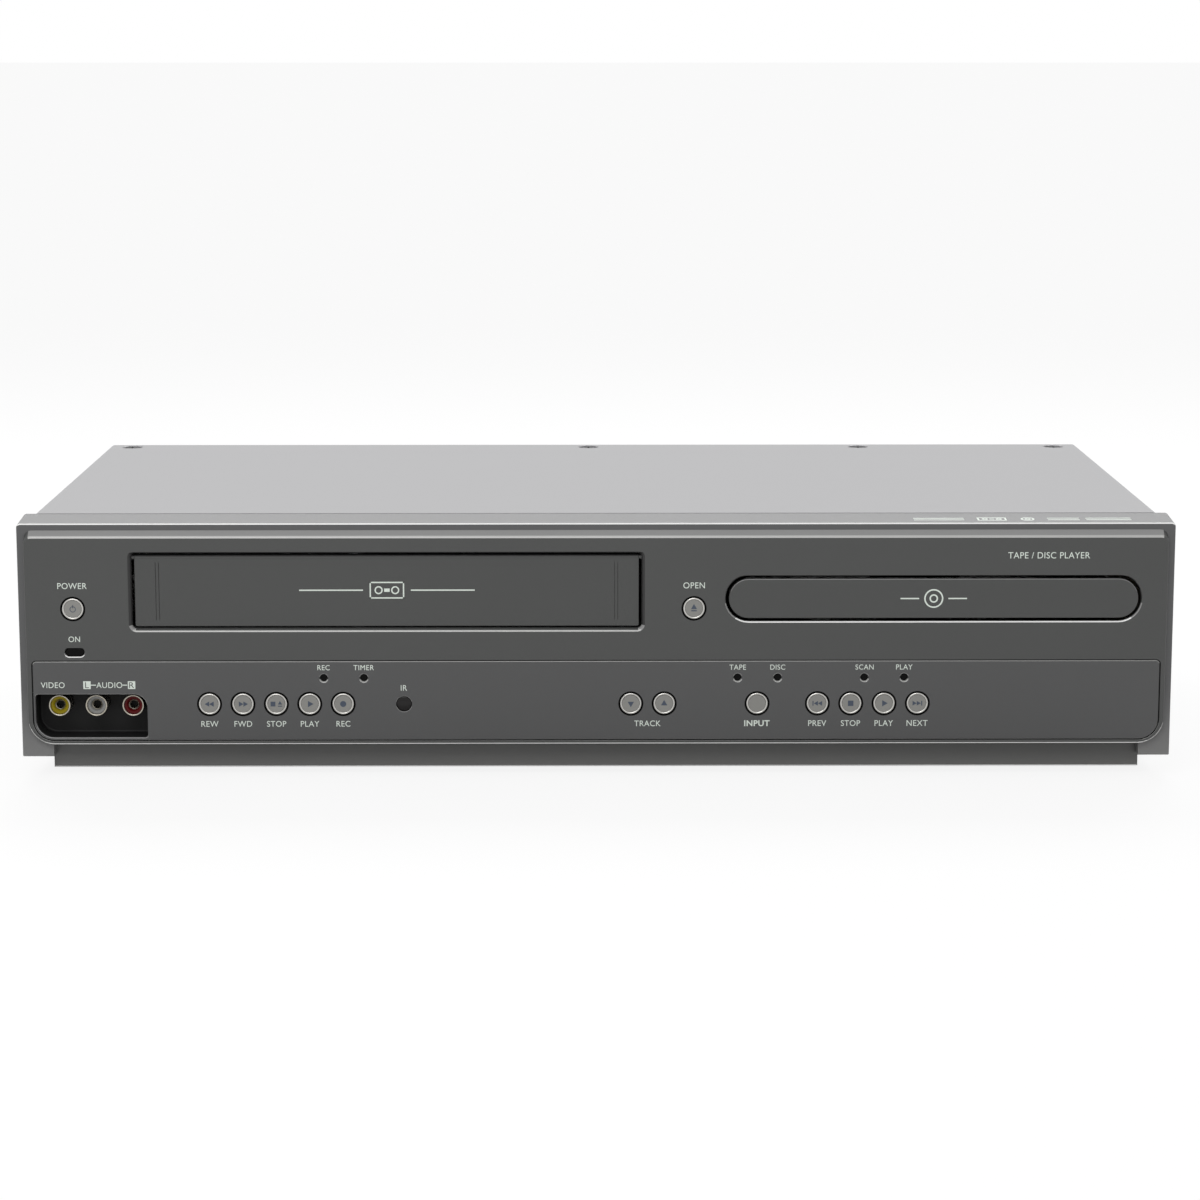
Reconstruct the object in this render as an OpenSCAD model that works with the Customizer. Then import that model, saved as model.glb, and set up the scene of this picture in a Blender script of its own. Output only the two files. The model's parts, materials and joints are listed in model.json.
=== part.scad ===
// Combined video tape and disc player: folded steel case, moulded front, tape deck on the left and
// disc loader on the right. +Z is up, the front looks along -Y, and the origin is on the surface
// that the feet stand on, under the middle of the player.

/* [Overall] */
// Width over the bezel
body_w = 435; // [430:1:445]
// Depth from the raised face to the tips of the rear jacks
body_d = 236; // [236:1:260]
// Height from the surface to the top of the cover
body_h = 99; // [98:0.5:104]

/* [Case] */
// Height of the feet, which is also the height of the chassis underside
foot_h = 6; // [5:0.5:8]
// Radius of a foot
foot_r = 11; // [8:0.5:14]
// Distance of a foot's middle from the bezel's side
foot_inset = 52.5; // [32:0.5:80]
// Distance of the feet from the middle of the depth
foot_y = 72; // [50:2:80]
// Thickness of the steel sheet of cover, chassis and rear panel
sheet_t = 1; // [0.8:0.1:1.2]
// How far the bezel stands out past the cover on each side
cover_step = 3.85; // [3:0.1:5]
// Radius of the folds along the cover's top edges
cover_fold_r = 2; // [1.5:0.25:4]
// How far the rear jacks stand out behind the cover
jack_reach = 9.5; // [8:0.5:12]
// Height of the side flanges of the chassis
flange_h = 16; // [12:1:24]
// Number of cooling slots in each side of the cover
vent_count = 12; // [6:1:16]
// Length of a cooling slot
vent_len = 22; // [14:1:30]
// Width of a cooling slot
vent_w = 2; // [1.5:0.25:3]
// Distance between neighbouring cooling slots
vent_pitch = 7; // [5:0.5:9]

/* [Screws] */
// Radius of a screw head
head_r = 3.3; // [2.8:0.1:3.6]
// Height of a screw head
head_h = 1.4; // [1.2:0.1:1.6]
// Radius of a screw shank
shank_r = 1.5; // [1.2:0.1:1.7]
// Length of a screw shank
shank_len = 6; // [5:0.5:8]

/* [Bezel] */
// Depth of the sloping lip on top of the bezel
lip_d = 16.5; // [15:0.5:20]
// How far the raised face stands in front of the frame round it
face_proud = 2.5; // [1.5:0.25:3]
// Wall thickness of the bezel
bezel_t = 2.8; // [2.4:0.1:3.2]
// Height of the underside of the side wings
wing_z = 8.3; // [7.6:0.1:9]
// Height of the underside of the plinth
plinth_z = 2.9; // [2:0.1:4]
// Distance of the plinth's end from the bezel's side
plinth_inset = 10.9; // [9.9:0.1:20]
// How far the plinth is set back from the frame
plinth_back = 5.5; // [4:0.5:7]
// Width of the frame strip beside the raised face
strip_w = 2.8; // [2:0.1:3.4]
// Height of the lower edge of the raised face
face_z = 13.5; // [12.5:0.1:14]
// Radius of the lower corners of the raised face
face_r = 9.8; // [8:0.2:11]
// Distance from the cover's top down to the raised face
face_drop = 6.3; // [5.5:0.1:7]
// Height of the sloping ledge over the raised face
ledge_h = 2.3; // [1.5:0.1:2.6]

/* [Control panel] */
// Height of the panel's lower edge
panel_z = 15.2; // [14.8:0.1:16]
// Height of the panel
panel_h = 30.2; // [29:0.1:31]
// Thickness of the panel
panel_t = 1.3; // [1:0.1:1.5]
// Width of the seam round the panel
panel_seam = 0.35; // [0.2:0.05:0.5]
// Margin from the raised face's edge to the panel
panel_margin = 2.2; // [1.6:0.1:3]
// Radius of the lower corners of the panel
panel_r = 7.6; // [5:0.2:8]

/* [Buttons] */
// Radius of a button cap
cap_r = 4.1; // [3.6:0.1:4.3]
// Gap between a cap and its hole
cap_gap = 0.5; // [0.3:0.1:0.7]
// Travel of a button
press = 1; // [0.6:0.1:1]
// Height of the row of buttons on the panel
row_z = 29; // [27:0.2:31]
// Height of the two buttons beside the slots
upper_z = 65.5; // [62:0.5:70]
// Distance between neighbouring buttons in a group
pitch = 12.6; // [12:0.1:13]
// Distance from the bezel's left side to the rewind button, the first of the tape group
tape_keys_inset = 71.4; // [68:0.1:73]
// Distance from the cassette slot's middle to the tracking down button
track_keys_away = 91.7; // [86:0.1:96]
// Distance from the source button to the tray's middle
source_away = 66.1; // [62:0.1:70]
// Distance from the previous button, the first of the disc group, to the tray's middle
disc_keys_away = 43.3; // [39:0.1:46]
// Distance from the bezel's left side to the power button
power_inset = 20.8; // [18:0.1:25]
// How far the open button stands from the cassette slot toward the tray's slot, as a share of the way
open_share = 0.624; // [0.5:0.001:0.66]

/* [Lights] */
// Radius of a hole for a status light
light_r = 1.43; // [1.2:0.05:1.8]
// Height of the status lights
light_z = 39; // [38:0.1:40]
// Distance from the cassette slot's middle to the remote control window
ir_away = 6.1; // [0:0.1:18]
// Radius of the remote control window
ir_r = 2.9; // [2:0.1:4]
// Height of the power light window
lens_z = 48.9; // [48.4:0.1:52]
// Width of the power light window
lens_w = 7.3; // [6:0.1:9]
// Height of the power light window's opening
lens_h = 3.2; // [2.4:0.1:4]

/* [Front jacks] */
// Place of the jack recess's left edge, from the panel's left edge
recess_inset = 0.9; // [0.6:0.1:1.5]
// Width of the recess
recess_w = 42; // [40:0.5:45]
// Height of the recess
recess_h = 16.6; // [15:0.2:18]
// Depth of the recess behind the raised face
recess_d = 10; // [9:0.5:11]
// Distance between the jacks
jack_pitch = 13.9; // [13:0.1:14]
// How far the middle jack stands right of the recess's middle
jack_shift = 1.5; // [0:0.1:1.6]
// Outer radius of a jack's sleeve
sleeve_r = 4.15; // [4:0.05:4.3]
// Height of the front jacks
jack_z = 28.1; // [27.8:0.1:28.3]

/* [Cassette slot] */
// Width of the slot
slot_w = 191.3; // [190.5:0.1:192]
// Height of the slot
slot_h = 28.5; // [28:0.1:29]
// Distance from the bezel's left side to the slot
slot_inset = 43.05; // [42:0.05:44]
// Height of the slot's lower edge
slot_z = 58; // [57.5:0.1:58.5]
// Width of the bevel round the slot
slot_bevel = 1.9; // [1:0.1:2.2]
// Gap round the flap
flap_gap = 0.9; // [0.6:0.1:1.2]
// Thickness of the flap
flap_t = 2.2; // [2:0.1:2.4]
// How far the flap is set back from the raised face
flap_back = 1.9; // [1.6:0.1:2.2]

/* [Tape deck] */
// Width of a cassette
tape_w = 187; // [186:0.5:188]
// Height of a cassette
tape_h = 25; // [24:0.5:25]
// Distance that the cassette holder goes in
go_in = 45; // [40:1:45]
// Distance that the cassette holder goes down
go_down = 20; // [16:1:20]
// Depth of the cassette holder
holder_d = 70; // [60:1:70]
// Height of the deck plate's top
deck_z = 31.2; // [30.5:0.1:31.6]
// Radius of the head drum
drum_r = 31; // [30:0.5:31]
// Distance between the two reel tables
reel_pitch = 92; // [90:0.5:94]
// Radius of the capstan shaft
capstan_r = 1.5; // [1.2:0.1:1.8]
// Radius of the pinch roller
roller_r = 6.5; // [5:0.25:7]
// Swing of the pinch arm, in degrees
pinch_swing = 30; // [20:1:32]

/* [Disc loader] */
// Distance from the bezel's right side to the tray's middle
tray_inset = 90.8; // [89.5:0.1:92]
// Height of the tray front's middle
front_z = 69.2; // [69:0.1:69.4]
// Width of the tray front
front_w = 154.1; // [150:0.5:156]
// Height of the tray front
front_h = 15; // [14.6:0.2:15.4]
// Gap round the tray front
front_gap = 1.15; // [0.8:0.05:1.4]
// Width of the tray
tray_w = 130; // [126:1:132]
// Travel of the tray
tray_out = 135; // [110:1:136]
// Radius of a disc's recess
disc_r = 60.8; // [60.2:0.1:61]
// Height that the traverse lifts
lift = 7; // [5:0.25:7]
// Travel of the pickup sled
sled_out = 34; // [30:1:34]
// Radius of the turntable
table_r = 14.5; // [12:0.5:15]
// Tooth module of the tray's gear and rack
gear_m = 1; // [1:0.25:1]
// Teeth of the tray's gear
gear_n = 20; // [18:2:20]

/* [Clearances] */
// Radial clearance of a shaft in its hole
run = 0.05; // [0.03:0.01:0.08]
// Gap between pieces that slide past each other
slide_gap = 0.3; // [0.2:0.05:0.4]

/* [Hidden] */
$fn = 64;
eps = 0.01;

// Case planes
face_y = -body_d / 2;
frame_y = face_y + face_proud;
cover_y = frame_y + lip_d;
rear_y = body_d / 2 - jack_reach;
panel_rear_y = rear_y - 1.2;
panel_front_y = panel_rear_y - sheet_t;
foot_x = body_w / 2 - foot_inset;
cover_hw = body_w / 2 - cover_step;
inner_hw = cover_hw - sheet_t - 0.2;
floor_z = foot_h;
base_z = foot_h + sheet_t;
cover_under_z = body_h - sheet_t;
rear_flange_z = body_h - head_h - 0.9;

// Places across the front, from the sides of the bezel
slot_x = slot_inset + slot_w / 2 - body_w / 2;
tray_x = body_w / 2 - tray_inset;
power_x = power_inset - body_w / 2;
tape_keys_x = tape_keys_inset - body_w / 2;
track_keys_x = slot_x + track_keys_away;
source_x = tray_x - source_away;
disc_keys_x = tray_x - disc_keys_away;
slot_right = slot_x + slot_w / 2;
open_x = slot_right + open_share * (tray_x - front_w / 2 - front_gap - slot_right);
ir_x = slot_x + ir_away;

// Bezel planes
plinth_w = body_w - 2 * plinth_inset;
plinth_y = frame_y + plinth_back;
wall_y = face_y + bezel_t;
face_hw = body_w / 2 - strip_w;
face_top = body_h - face_drop;
panel_hw = face_hw - panel_margin;
panel_y = face_y + panel_t;
recess_x = -panel_hw + recess_inset;
recess_mid_x = recess_x + recess_w / 2;
recess_z = panel_z + 1;
recess_y = face_y + recess_d;
power_lens_x = power_x + 0.3;

// Front board
board_t = 1.6;
board_front_y = face_y + 12;
board_y = board_front_y + board_t;
plunger_h = 1.8;
switch_h = 3.5;
plunger_y = board_front_y - switch_h - plunger_h;

// Main boards
boards_z = floor_z + 7;
power_board_x = inner_hw - 80.45;
power_board_y = panel_front_y - 50.3;

// Cassette slot and deck
flap_w = slot_w - 2 * flap_gap;
flap_front_y = face_y + flap_back;
hinge_y = flap_front_y + flap_t / 2;
hinge_z = slot_z + slot_h - 1.6;
hinge_r = 1;
holder_y = hinge_y + slot_h + 3.5;
holder_hw = tape_w / 2 + 1.7;
holder_t = 0.9;
holder_in = holder_hw - holder_t;
carriage_t = 1;
carriage_in = holder_hw + 2 * slide_gap;
carriage_hw = carriage_in + carriage_t;
bracket_t = 1.2;
bracket_in = carriage_hw + 2 * slide_gap;
bracket_hw = bracket_in + bracket_t;
guide_r = 1.5;
guide_gap = 0.1;
guide_y1 = holder_y + 12;
guide_y2 = holder_y + holder_d - 12;
holder_pin_z = slot_z + 14;
carriage_pin_z = slot_z + 24;
holder_top_z = slot_z + slot_h - 1.5;
carriage_top_z = holder_top_z + 2.2;
deck_t = 1.2;
deck_under = deck_z - deck_t;
deck_hw = bracket_hw + 0.8;
deck_y0 = holder_y + 1;
drum_x = slot_x;
drum_y = holder_y + holder_d + go_in + 2.5 + drum_r;
drum_split = deck_z + 15;
drum_top = drum_split + 15.4;
deck_y1 = drum_y + drum_r + 2;
reel_y = holder_y + go_in + 8;
reel_top = slot_z - go_down + 6;
capstan_x = drum_x + 60;
capstan_y = drum_y - drum_r + 2.5;
capstan_top = deck_z + 31;
flywheel_r = 24;
roller_gap = 0.4;
pinch_x = capstan_x + 26.8;
pinch_y = capstan_y + 16;
roller_closed_x = capstan_x;
roller_closed_y = capstan_y + capstan_r + roller_r + roller_gap;
pinch_len = norm([roller_closed_x - pinch_x, roller_closed_y - pinch_y]);
pinch_closed = atan2(roller_closed_y - pinch_y, roller_closed_x - pinch_x);
pinch_open = pinch_closed - pinch_swing;

// Disc loader
front_end_r = front_h / 2;
tray_hw = tray_w / 2;
tray_top = front_z + 0.2;
tray_under = tray_top - 5.4;
tray_y0 = face_y + 5;
disc_y = tray_y0 + disc_r + 6.2;
tray_y1 = disc_y + 94;
recess_floor = tray_top - 2.6;
small_floor = recess_floor - 1;
small_r = 40.6;
slot_hw = 18;
track_y1 = disc_y + 68;
loader_t = 2.5;
loader_in = tray_hw + 1.5;
loader_hw = loader_in + loader_t;
loader_y0 = face_y + 8;
loader_y1 = tray_y1 + 6;
loader_floor = 44;
loader_floor_t = 2;
loader_wall_top = tray_top + 3.2;
guide_in = tray_hw - 2.5;
gear_r = gear_m * gear_n / 2;
rack_x = tray_x - 51.7;
gear_x = rack_x + gear_r;
gear_y = face_y + 24;
rack_under = tray_under - 2.8;
rack_back = 5;
rack_tooth = PI * gear_m;
tooth_slack = 0.3;
wheel_r = 15;
wheel_z = loader_floor + 3;
wheel_h = 5;
pulley_r = 4;
motor_x = gear_x + 40;
motor_y = gear_y + 4;
belt_t = 1.4;
belt_gap = 0.25;
traverse_z = 49;
traverse_t = 2;
traverse_hw = 36;
traverse_y0 = disc_y - 26;
traverse_y1 = disc_y + 80;
lift_post_x = 33;
lift_post_r = 2;
lift_post_y0 = traverse_y0 + 4;
lift_post_y1 = traverse_y1 - 4;
lift_boss_z = 47;
rod_x = 24;
rod_r = 1.5;
rod_z = 54.5;
seat_z = recess_floor + 0.8 - lift;
cone_h = 2.6;
cone_r = 7.4;
spindle_r = 1;
sled_y = disc_y + 24;
sled_d = 30;
sled_top = tray_under - lift - 0.5;
lens_top = seat_z - 1.3;
bridge_z = loader_wall_top;
bridge_t = 1.2;
clamper_r = 13.8;

// Places of the buttons: name of the group's button and its [x, z]
power_at = [power_x, upper_z];
open_at = [open_x, upper_z];
function tape_key(i) = [tape_keys_x + i * pitch, row_z];
function track_key(i) = [track_keys_x + i * pitch, row_z];
source_at = [source_x, row_z];
function disc_key(i) = [disc_keys_x + i * pitch, row_z];
panel_keys = [
    for (i = [0:4]) tape_key(i),
    for (i = [0:1]) track_key(i),
    source_at,
    for (i = [0:3]) disc_key(i)
];
all_keys = concat([power_at, open_at], panel_keys);
lights_x = [
    tape_keys_x + 3.43 * pitch, tape_keys_x + 4.63 * pitch, source_x - 7.4, source_x + 7.7,
    disc_keys_x + 1.4 * pitch, disc_keys_x + 2.59 * pitch
];

// Screw places
top_screws_x = [10.65 - cover_hw, -2.4, tray_x - 10.3, cover_hw - 11.15];
side_screws_y = [cover_y + 39, rear_y - 54.5];
side_screw_z = floor_z + 8;

// Screw bosses of the front board, between the groups of buttons
board_screws_x = [
    tape_keys_x - pitch, ir_x + 38.7, source_x - pitch, disc_keys_x + 3.8 * pitch
];
board_screw_z = 22.5;

// Rear connectors: columns and rows of round jacks, and the two antenna connectors
rear_rows_z = [22, 38];
jack_step = 16;
tape_jacks_x = [for (i = [0:3]) 62.45 - inner_hw + i * jack_step];
disc_jacks_x = [for (i = [0:4]) tray_x - 84.7 + i * jack_step];
tuner_w = 29;
tuner_x = tuner_w / 2 + 2.45 - inner_hw;
tuner_z = [24, 40];
antenna_r = 4.7;
gland_at = [inner_hw - 26.45, 26];
gland_r = 6.2;
cord_r = 3.2;
rear_screws = [
    [tape_jacks_x[0] + 1.5 * jack_step, 50], [disc_jacks_x[0] - 22, 50],
    [disc_jacks_x[0] + 2 * jack_step, 50], [7.45 - inner_hw, 80], [inner_hw - 7.45, 80],
    [0, 90]
];

// A 2D shape in X and Z, drawn out along Y
module along_y(y0, y1) {
    translate([0, y1, 0])
        rotate([90, 0, 0])
            linear_extrude(y1 - y0)
                children();
}

// A 2D shape in Y and Z, drawn out along X
module along_x(x0, x1) {
    translate([x0, 0, 0])
        rotate([90, 0, 90])
            linear_extrude(x1 - x0)
                children();
}

// A block between two corners
module block(low, high) {
    translate(low)
        cube(high - low);
}

// A plain cylinder along Z between two heights
module post(x, y, r, z0, z1) {
    translate([x, y, z0])
        cylinder(r = r, h = z1 - z0);
}

// A plain cylinder along Y between two planes
module peg(x, z, r, y0, y1) {
    translate([x, y0, z])
        rotate([-90, 0, 0])
            cylinder(r = r, h = y1 - y0);
}

// A rectangle from corner to corner with its own radius at the lower and upper corners
module plate2d(x0, z0, x1, z1, r_low, r_high) {
    union() {
        translate([x0, z0 + r_low])
            square([x1 - x0, z1 - z0 - r_low - r_high]);
        translate([x0 + r_low, z0])
            square([x1 - x0 - 2 * r_low, r_low + eps]);
        translate([x0 + r_high, z1 - r_high - eps])
            square([x1 - x0 - 2 * r_high, r_high + eps]);
        for (x = [x0 + r_low, x1 - r_low])
            translate([x, z0 + r_low])
                circle(r = r_low);
        for (x = [x0 + r_high, x1 - r_high])
            translate([x, z1 - r_high])
                circle(r = r_high);
    }
}

// A rectangle with a radius for each corner: lower left, lower right, upper right, upper left
module corners2d(x0, z0, x1, z1, r) {
    polygon([
        [x0 + r[0], z0], [x1 - r[1], z0], [x1, z0 + r[1]], [x1, z1 - r[2]],
        [x1 - r[2], z1], [x0 + r[3], z1], [x0, z1 - r[3]], [x0, z0 + r[0]]
    ]);
    translate([x0 + r[0], z0 + r[0]])
        circle(r = r[0]);
    translate([x1 - r[1], z0 + r[1]])
        circle(r = r[1]);
    translate([x1 - r[2], z1 - r[2]])
        circle(r = r[2]);
    translate([x0 + r[3], z1 - r[3]])
        circle(r = r[3]);
}

// A long slot with round ends, centred on a point
module stadium2d(x, z, w, h) {
    translate([x - (w - h) / 2, z - h / 2])
        square([w - h, h]);
    for (side = [-1, 1])
        translate([x + side * (w - h) / 2, z])
            circle(r = h / 2);
}

// A spur gear with straight-flanked teeth, thinned by a backlash
module gear2d(teeth, m, slack) {
    r = m * teeth / 2;
    half = 90 / teeth - slack * 90 / (PI * r);
    polygon([
        for (i = [0:teeth - 1], p = [[-1, -1.25, 1.5], [-1, 1, 0.5], [1, 1, 0.5], [1, -1.25, 1.5]])
            let (a = i * 360 / teeth + p[0] * half * p[2], q = r + p[1] * m)
                [q * cos(a), q * sin(a)]
    ]);
}

// Bezel: a hollow moulding with a sloping lip, a raised face, wings and a set-back plinth
module lip_profile() {
    polygon([
        [frame_y, wing_z],
        [frame_y, face_top + ledge_h],
        [frame_y + 0.1, body_h - 2.3],
        [frame_y + 0.5, body_h - 1.8],
        [frame_y + 1.3, body_h - 1.5],
        [cover_y, body_h - 0.2],
        [cover_y, wing_z]
    ]);
}

module face_outline(inset) {
    plate2d(-face_hw + inset, face_z + inset, face_hw - inset, face_top - inset,
        face_r - inset, 1);
}

// The space under the raised face, between the wings and in front of the plinth
module plinth_notch() {
    block([-plinth_w / 2, frame_y - 1, wing_z - 1], [plinth_w / 2, plinth_y, face_z]);
}

module bezel_shell() {
    difference() {
        intersection() {
            along_x(-body_w / 2, body_w / 2)
                lip_profile();
            along_y(frame_y - 1, cover_y + 1)
                plate2d(-body_w / 2, wing_z, body_w / 2, body_h + 4, 1.2, 3);
            translate([0, 0, wing_z])
                linear_extrude(body_h)
                    plate2d(-body_w / 2, frame_y, body_w / 2, cover_y + 4, 1.6, 1);
        }
        plinth_notch();
    }
    along_y(face_y, frame_y + eps)
        face_outline(0);
    along_x(-face_hw + 0.4, face_hw - 0.4)
        polygon([
            [face_y, face_top - eps],
            [frame_y + eps, face_top + ledge_h],
            [frame_y + eps, face_top - eps]
        ]);
    block([-plinth_w / 2, plinth_y, plinth_z], [plinth_w / 2, cover_y, wing_z + bezel_t]);
}

// The walls round the notch: a shelf over it, the plinth's front behind it and a cheek at each end
module notch_walls() {
    difference() {
        block([-plinth_w / 2 - bezel_t, frame_y + eps, wing_z],
            [plinth_w / 2 + bezel_t, plinth_y + bezel_t, face_z + bezel_t]);
        plinth_notch();
    }
}

module cover_tongue() {
    tongue_hw = cover_hw - cover_fold_r;
    tongue_top = cover_under_z - slide_gap;
    difference() {
        block([-tongue_hw, cover_y - bezel_t, wing_z + bezel_t], [tongue_hw, cover_y + 6, tongue_top]);
        block([-tongue_hw + 2, cover_y - bezel_t - 1, wing_z],
            [tongue_hw - 2, cover_y + 7, tongue_top - 2]);
    }
}

module bezel_hollow() {
    along_y(wall_y, frame_y + bezel_t + eps)
        face_outline(bezel_t);
    along_y(frame_y + bezel_t, cover_y + 1)
        plate2d(-body_w / 2 + bezel_t, wing_z + bezel_t, body_w / 2 - bezel_t,
            body_h - 2.3 - bezel_t, 1, 1);
    block([-plinth_w / 2 + bezel_t, plinth_y + bezel_t, plinth_z + 2],
        [plinth_w / 2 - bezel_t, cover_y + 1, wing_z + bezel_t + 1]);
}

module cassette_slot_cut() {
    along_y(face_y - 1, cover_y)
        plate2d(slot_x - slot_w / 2, slot_z, slot_x + slot_w / 2, slot_z + slot_h, 1, 1);
    for (side = [-1, 1])
        translate([slot_x + side * (slot_w / 2 - 1), hinge_y, hinge_z])
            rotate([0, side * 90, 0])
                cylinder(r = hinge_r + run, h = 4.4);
}

module slot_bevels() {
    for (step = [0:3]) {
        k = slot_bevel * (1 - step / 4);
        along_y(face_y - 1, face_y + slot_bevel * (step + 1) / 5)
            plate2d(slot_x - slot_w / 2 - k, slot_z - k, slot_x + slot_w / 2 + k,
                slot_z + slot_h + k * 0.4, 1 + k, 1);
    }
    for (step = [0:2]) {
        k = 0.75 * (1 - step / 3);
        along_y(face_y - 1, face_y + 0.25 * (step + 1))
            stadium2d(tray_x, front_z, front_w + 2 * (front_gap + k), front_h + 2 * (front_gap + k));
    }
}

module bezel_holes() {
    cassette_slot_cut();
    slot_bevels();
    along_y(face_y - 1, cover_y)
        stadium2d(tray_x, front_z, front_w + 2 * front_gap, front_h + 2 * front_gap);
    along_y(face_y - 1, panel_y)
        plate2d(-panel_hw - panel_seam, panel_z - panel_seam, panel_hw + panel_seam,
            panel_z + panel_h + panel_seam, panel_r + panel_seam, 1.5 + panel_seam);
    for (at = all_keys)
        peg(at[0], at[1], cap_r + cap_gap, face_y - 1, cover_y);
    for (x = lights_x)
        peg(x, light_z, light_r, face_y - 1, cover_y);
    peg(ir_x, row_z, ir_r - 0.7, face_y - 1, cover_y);
    along_y(face_y - 1, cover_y)
        stadium2d(power_lens_x, lens_z, lens_w, lens_h);
    along_y(panel_y - eps, cover_y)
        recess_outline(1.5 + slide_gap);
}

module board_bosses() {
    for (x = board_screws_x)
        difference() {
            peg(x, board_screw_z, 2.8, wall_y - eps, board_front_y);
            peg(x, board_screw_z, 1.1, wall_y + 2, board_front_y + 1);
        }
}

module hinge_lugs() {
    for (side = [-1, 1])
        difference() {
            block([slot_x + side * (slot_w / 2 + 2.2) - 2.1, wall_y - eps, hinge_z - 4],
                [slot_x + side * (slot_w / 2 + 2.2) + 2.1, wall_y + 3.4, hinge_z + 4]);
            translate([slot_x + side * (slot_w / 2 - 1), hinge_y, hinge_z])
                rotate([0, side * 90, 0])
                    cylinder(r = hinge_r + run, h = 4.4);
        }
}

module front_bezel() {
    color([0.31, 0.31, 0.31]) {
        difference() {
            union() {
                difference() {
                    bezel_shell();
                    bezel_hollow();
                }
                notch_walls();
                cover_tongue();
            }
            bezel_holes();
        }
        board_bosses();
        hinge_lugs();
    }
}

// Control panel: the flat overlay that the lower row of buttons comes through
module recess_outline(extra) {
    corners2d(recess_x - extra, recess_z - extra, recess_x + recess_w + extra,
        recess_z + recess_h + extra,
        [panel_r - recess_inset + extra, 1 + extra, 5 + extra, 1 + extra]);
}

module control_panel() {
    color([0.34, 0.34, 0.34])
        difference() {
            along_y(face_y, panel_y)
                plate2d(-panel_hw, panel_z, panel_hw, panel_z + panel_h, panel_r, 1.5);
            for (at = panel_keys)
                peg(at[0], at[1], cap_r + cap_gap, face_y - 1, panel_y + 1);
            for (x = lights_x) {
                peg(x, light_z, light_r, face_y - 1, panel_y + 1);
                translate([x, face_y + 0.5, light_z])
                    rotate([90, 0, 0])
                        cylinder(r1 = light_r, r2 = light_r + 0.75, h = 0.75);
            }
            peg(ir_x, row_z, ir_r + run, face_y - 1, panel_y + 1);
            along_y(face_y - 1, panel_y + 1)
                recess_outline(0);
        }
}

// Jack recess: a cup behind the panel, with a hole for each jack's sleeve
function jack_x(i) = recess_mid_x + jack_shift + (i - 1) * jack_pitch;

module jack_recess() {
    color([0.09, 0.09, 0.09])
        difference() {
            along_y(panel_y, recess_y + 1.5)
                recess_outline(1.5);
            along_y(panel_y - 1, recess_y)
                recess_outline(0);
            for (i = [0:2])
                peg(jack_x(i), jack_z, sleeve_r + 0.1, recess_y - 1, recess_y + 3);
        }
}

// Jack sleeves: the plated outer contacts of the three front jacks
module jack_sleeves() {
    color([0.75, 0.74, 0.7])
        for (i = [0:2])
            difference() {
                peg(jack_x(i), jack_z, sleeve_r, face_y + 2.2, recess_y + 1.5);
                peg(jack_x(i), jack_z, sleeve_r - 0.7, face_y + 1, recess_y + 3);
            }
}

// Jack rings: the coloured insulators inside the sleeves, with the centre contact's hole
module jack_rings() {
    for (i = [0:2])
        color([[0.85, 0.75, 0.1], [0.9, 0.9, 0.88], [0.6, 0.08, 0.08]][i])
            difference() {
                peg(jack_x(i), jack_z, sleeve_r - 0.7, face_y + 2.6, recess_y + 1.5);
                peg(jack_x(i), jack_z, 1.6, face_y + 1, recess_y - 1);
            }
}

// Remote control window: a dark lens set in the panel
module ir_window() {
    color([0.08, 0.07, 0.07])
        peg(ir_x, row_z, ir_r, face_y + 0.1, panel_y);
}

// Power light window: a clear bar in the bezel
module power_lens() {
    color([0.35, 0.37, 0.35])
        along_y(face_y + 0.5, board_front_y)
            stadium2d(power_lens_x, lens_z, lens_w - 0.2, lens_h - 0.2);
}

// Status lights: six light pipes from the board into the panel's holes
module status_lights() {
    color([0.2, 0.2, 0.2])
        for (x = lights_x)
            peg(x, light_z, light_r - 0.13, face_y + 1, board_front_y);
}

// Front board: carries the switches, the lights, the remote receiver and the front jack block
module front_board() {
    block_hw = 19;
    x_left = recess_x + recess_w + 3;
    x_right = disc_keys_x + 4 * pitch + 2;
    arm_z = slot_z - 4;
    top_z = upper_z + 9;
    color([0.1, 0.35, 0.16])
        difference() {
            along_y(board_front_y, board_y)
                polygon([
                    [x_left, row_z - 10], [x_right, row_z - 10], [x_right, row_z + 12.5],
                    [open_x + 9, row_z + 12.5], [open_x + 9, top_z], [open_x - 9, top_z],
                    [open_x - 9, arm_z], [power_x + 14, arm_z], [power_x + 14, top_z],
                    [power_x - 10, top_z], [power_x - 10, recess_z + recess_h + 4],
                    [x_left, recess_z + recess_h + 4]
                ]);
            for (x = board_screws_x)
                peg(x, board_screw_z, 1.3, board_front_y - 1, board_y + 1);
        }
    color([0.12, 0.12, 0.12]) {
        block([jack_x(1) - block_hw, recess_y + 1.5, jack_z - 8],
            [jack_x(1) + block_hw, board_y + 6, jack_z + 5.5]);
        block([ir_x - 3, panel_y + 2.2, row_z - 3], [ir_x + 3, board_front_y, row_z + 3]);
    }
}

// Switches: one small push switch on the board behind each button
module switches() {
    color([0.2, 0.2, 0.22])
        for (at = all_keys) {
            block([at[0] - 3, board_front_y - switch_h, at[1] - 3],
                [at[0] + 3, board_front_y, at[1] + 3]);
            peg(at[0], at[1], 1.75, plunger_y, board_front_y - switch_h);
        }
}

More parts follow.
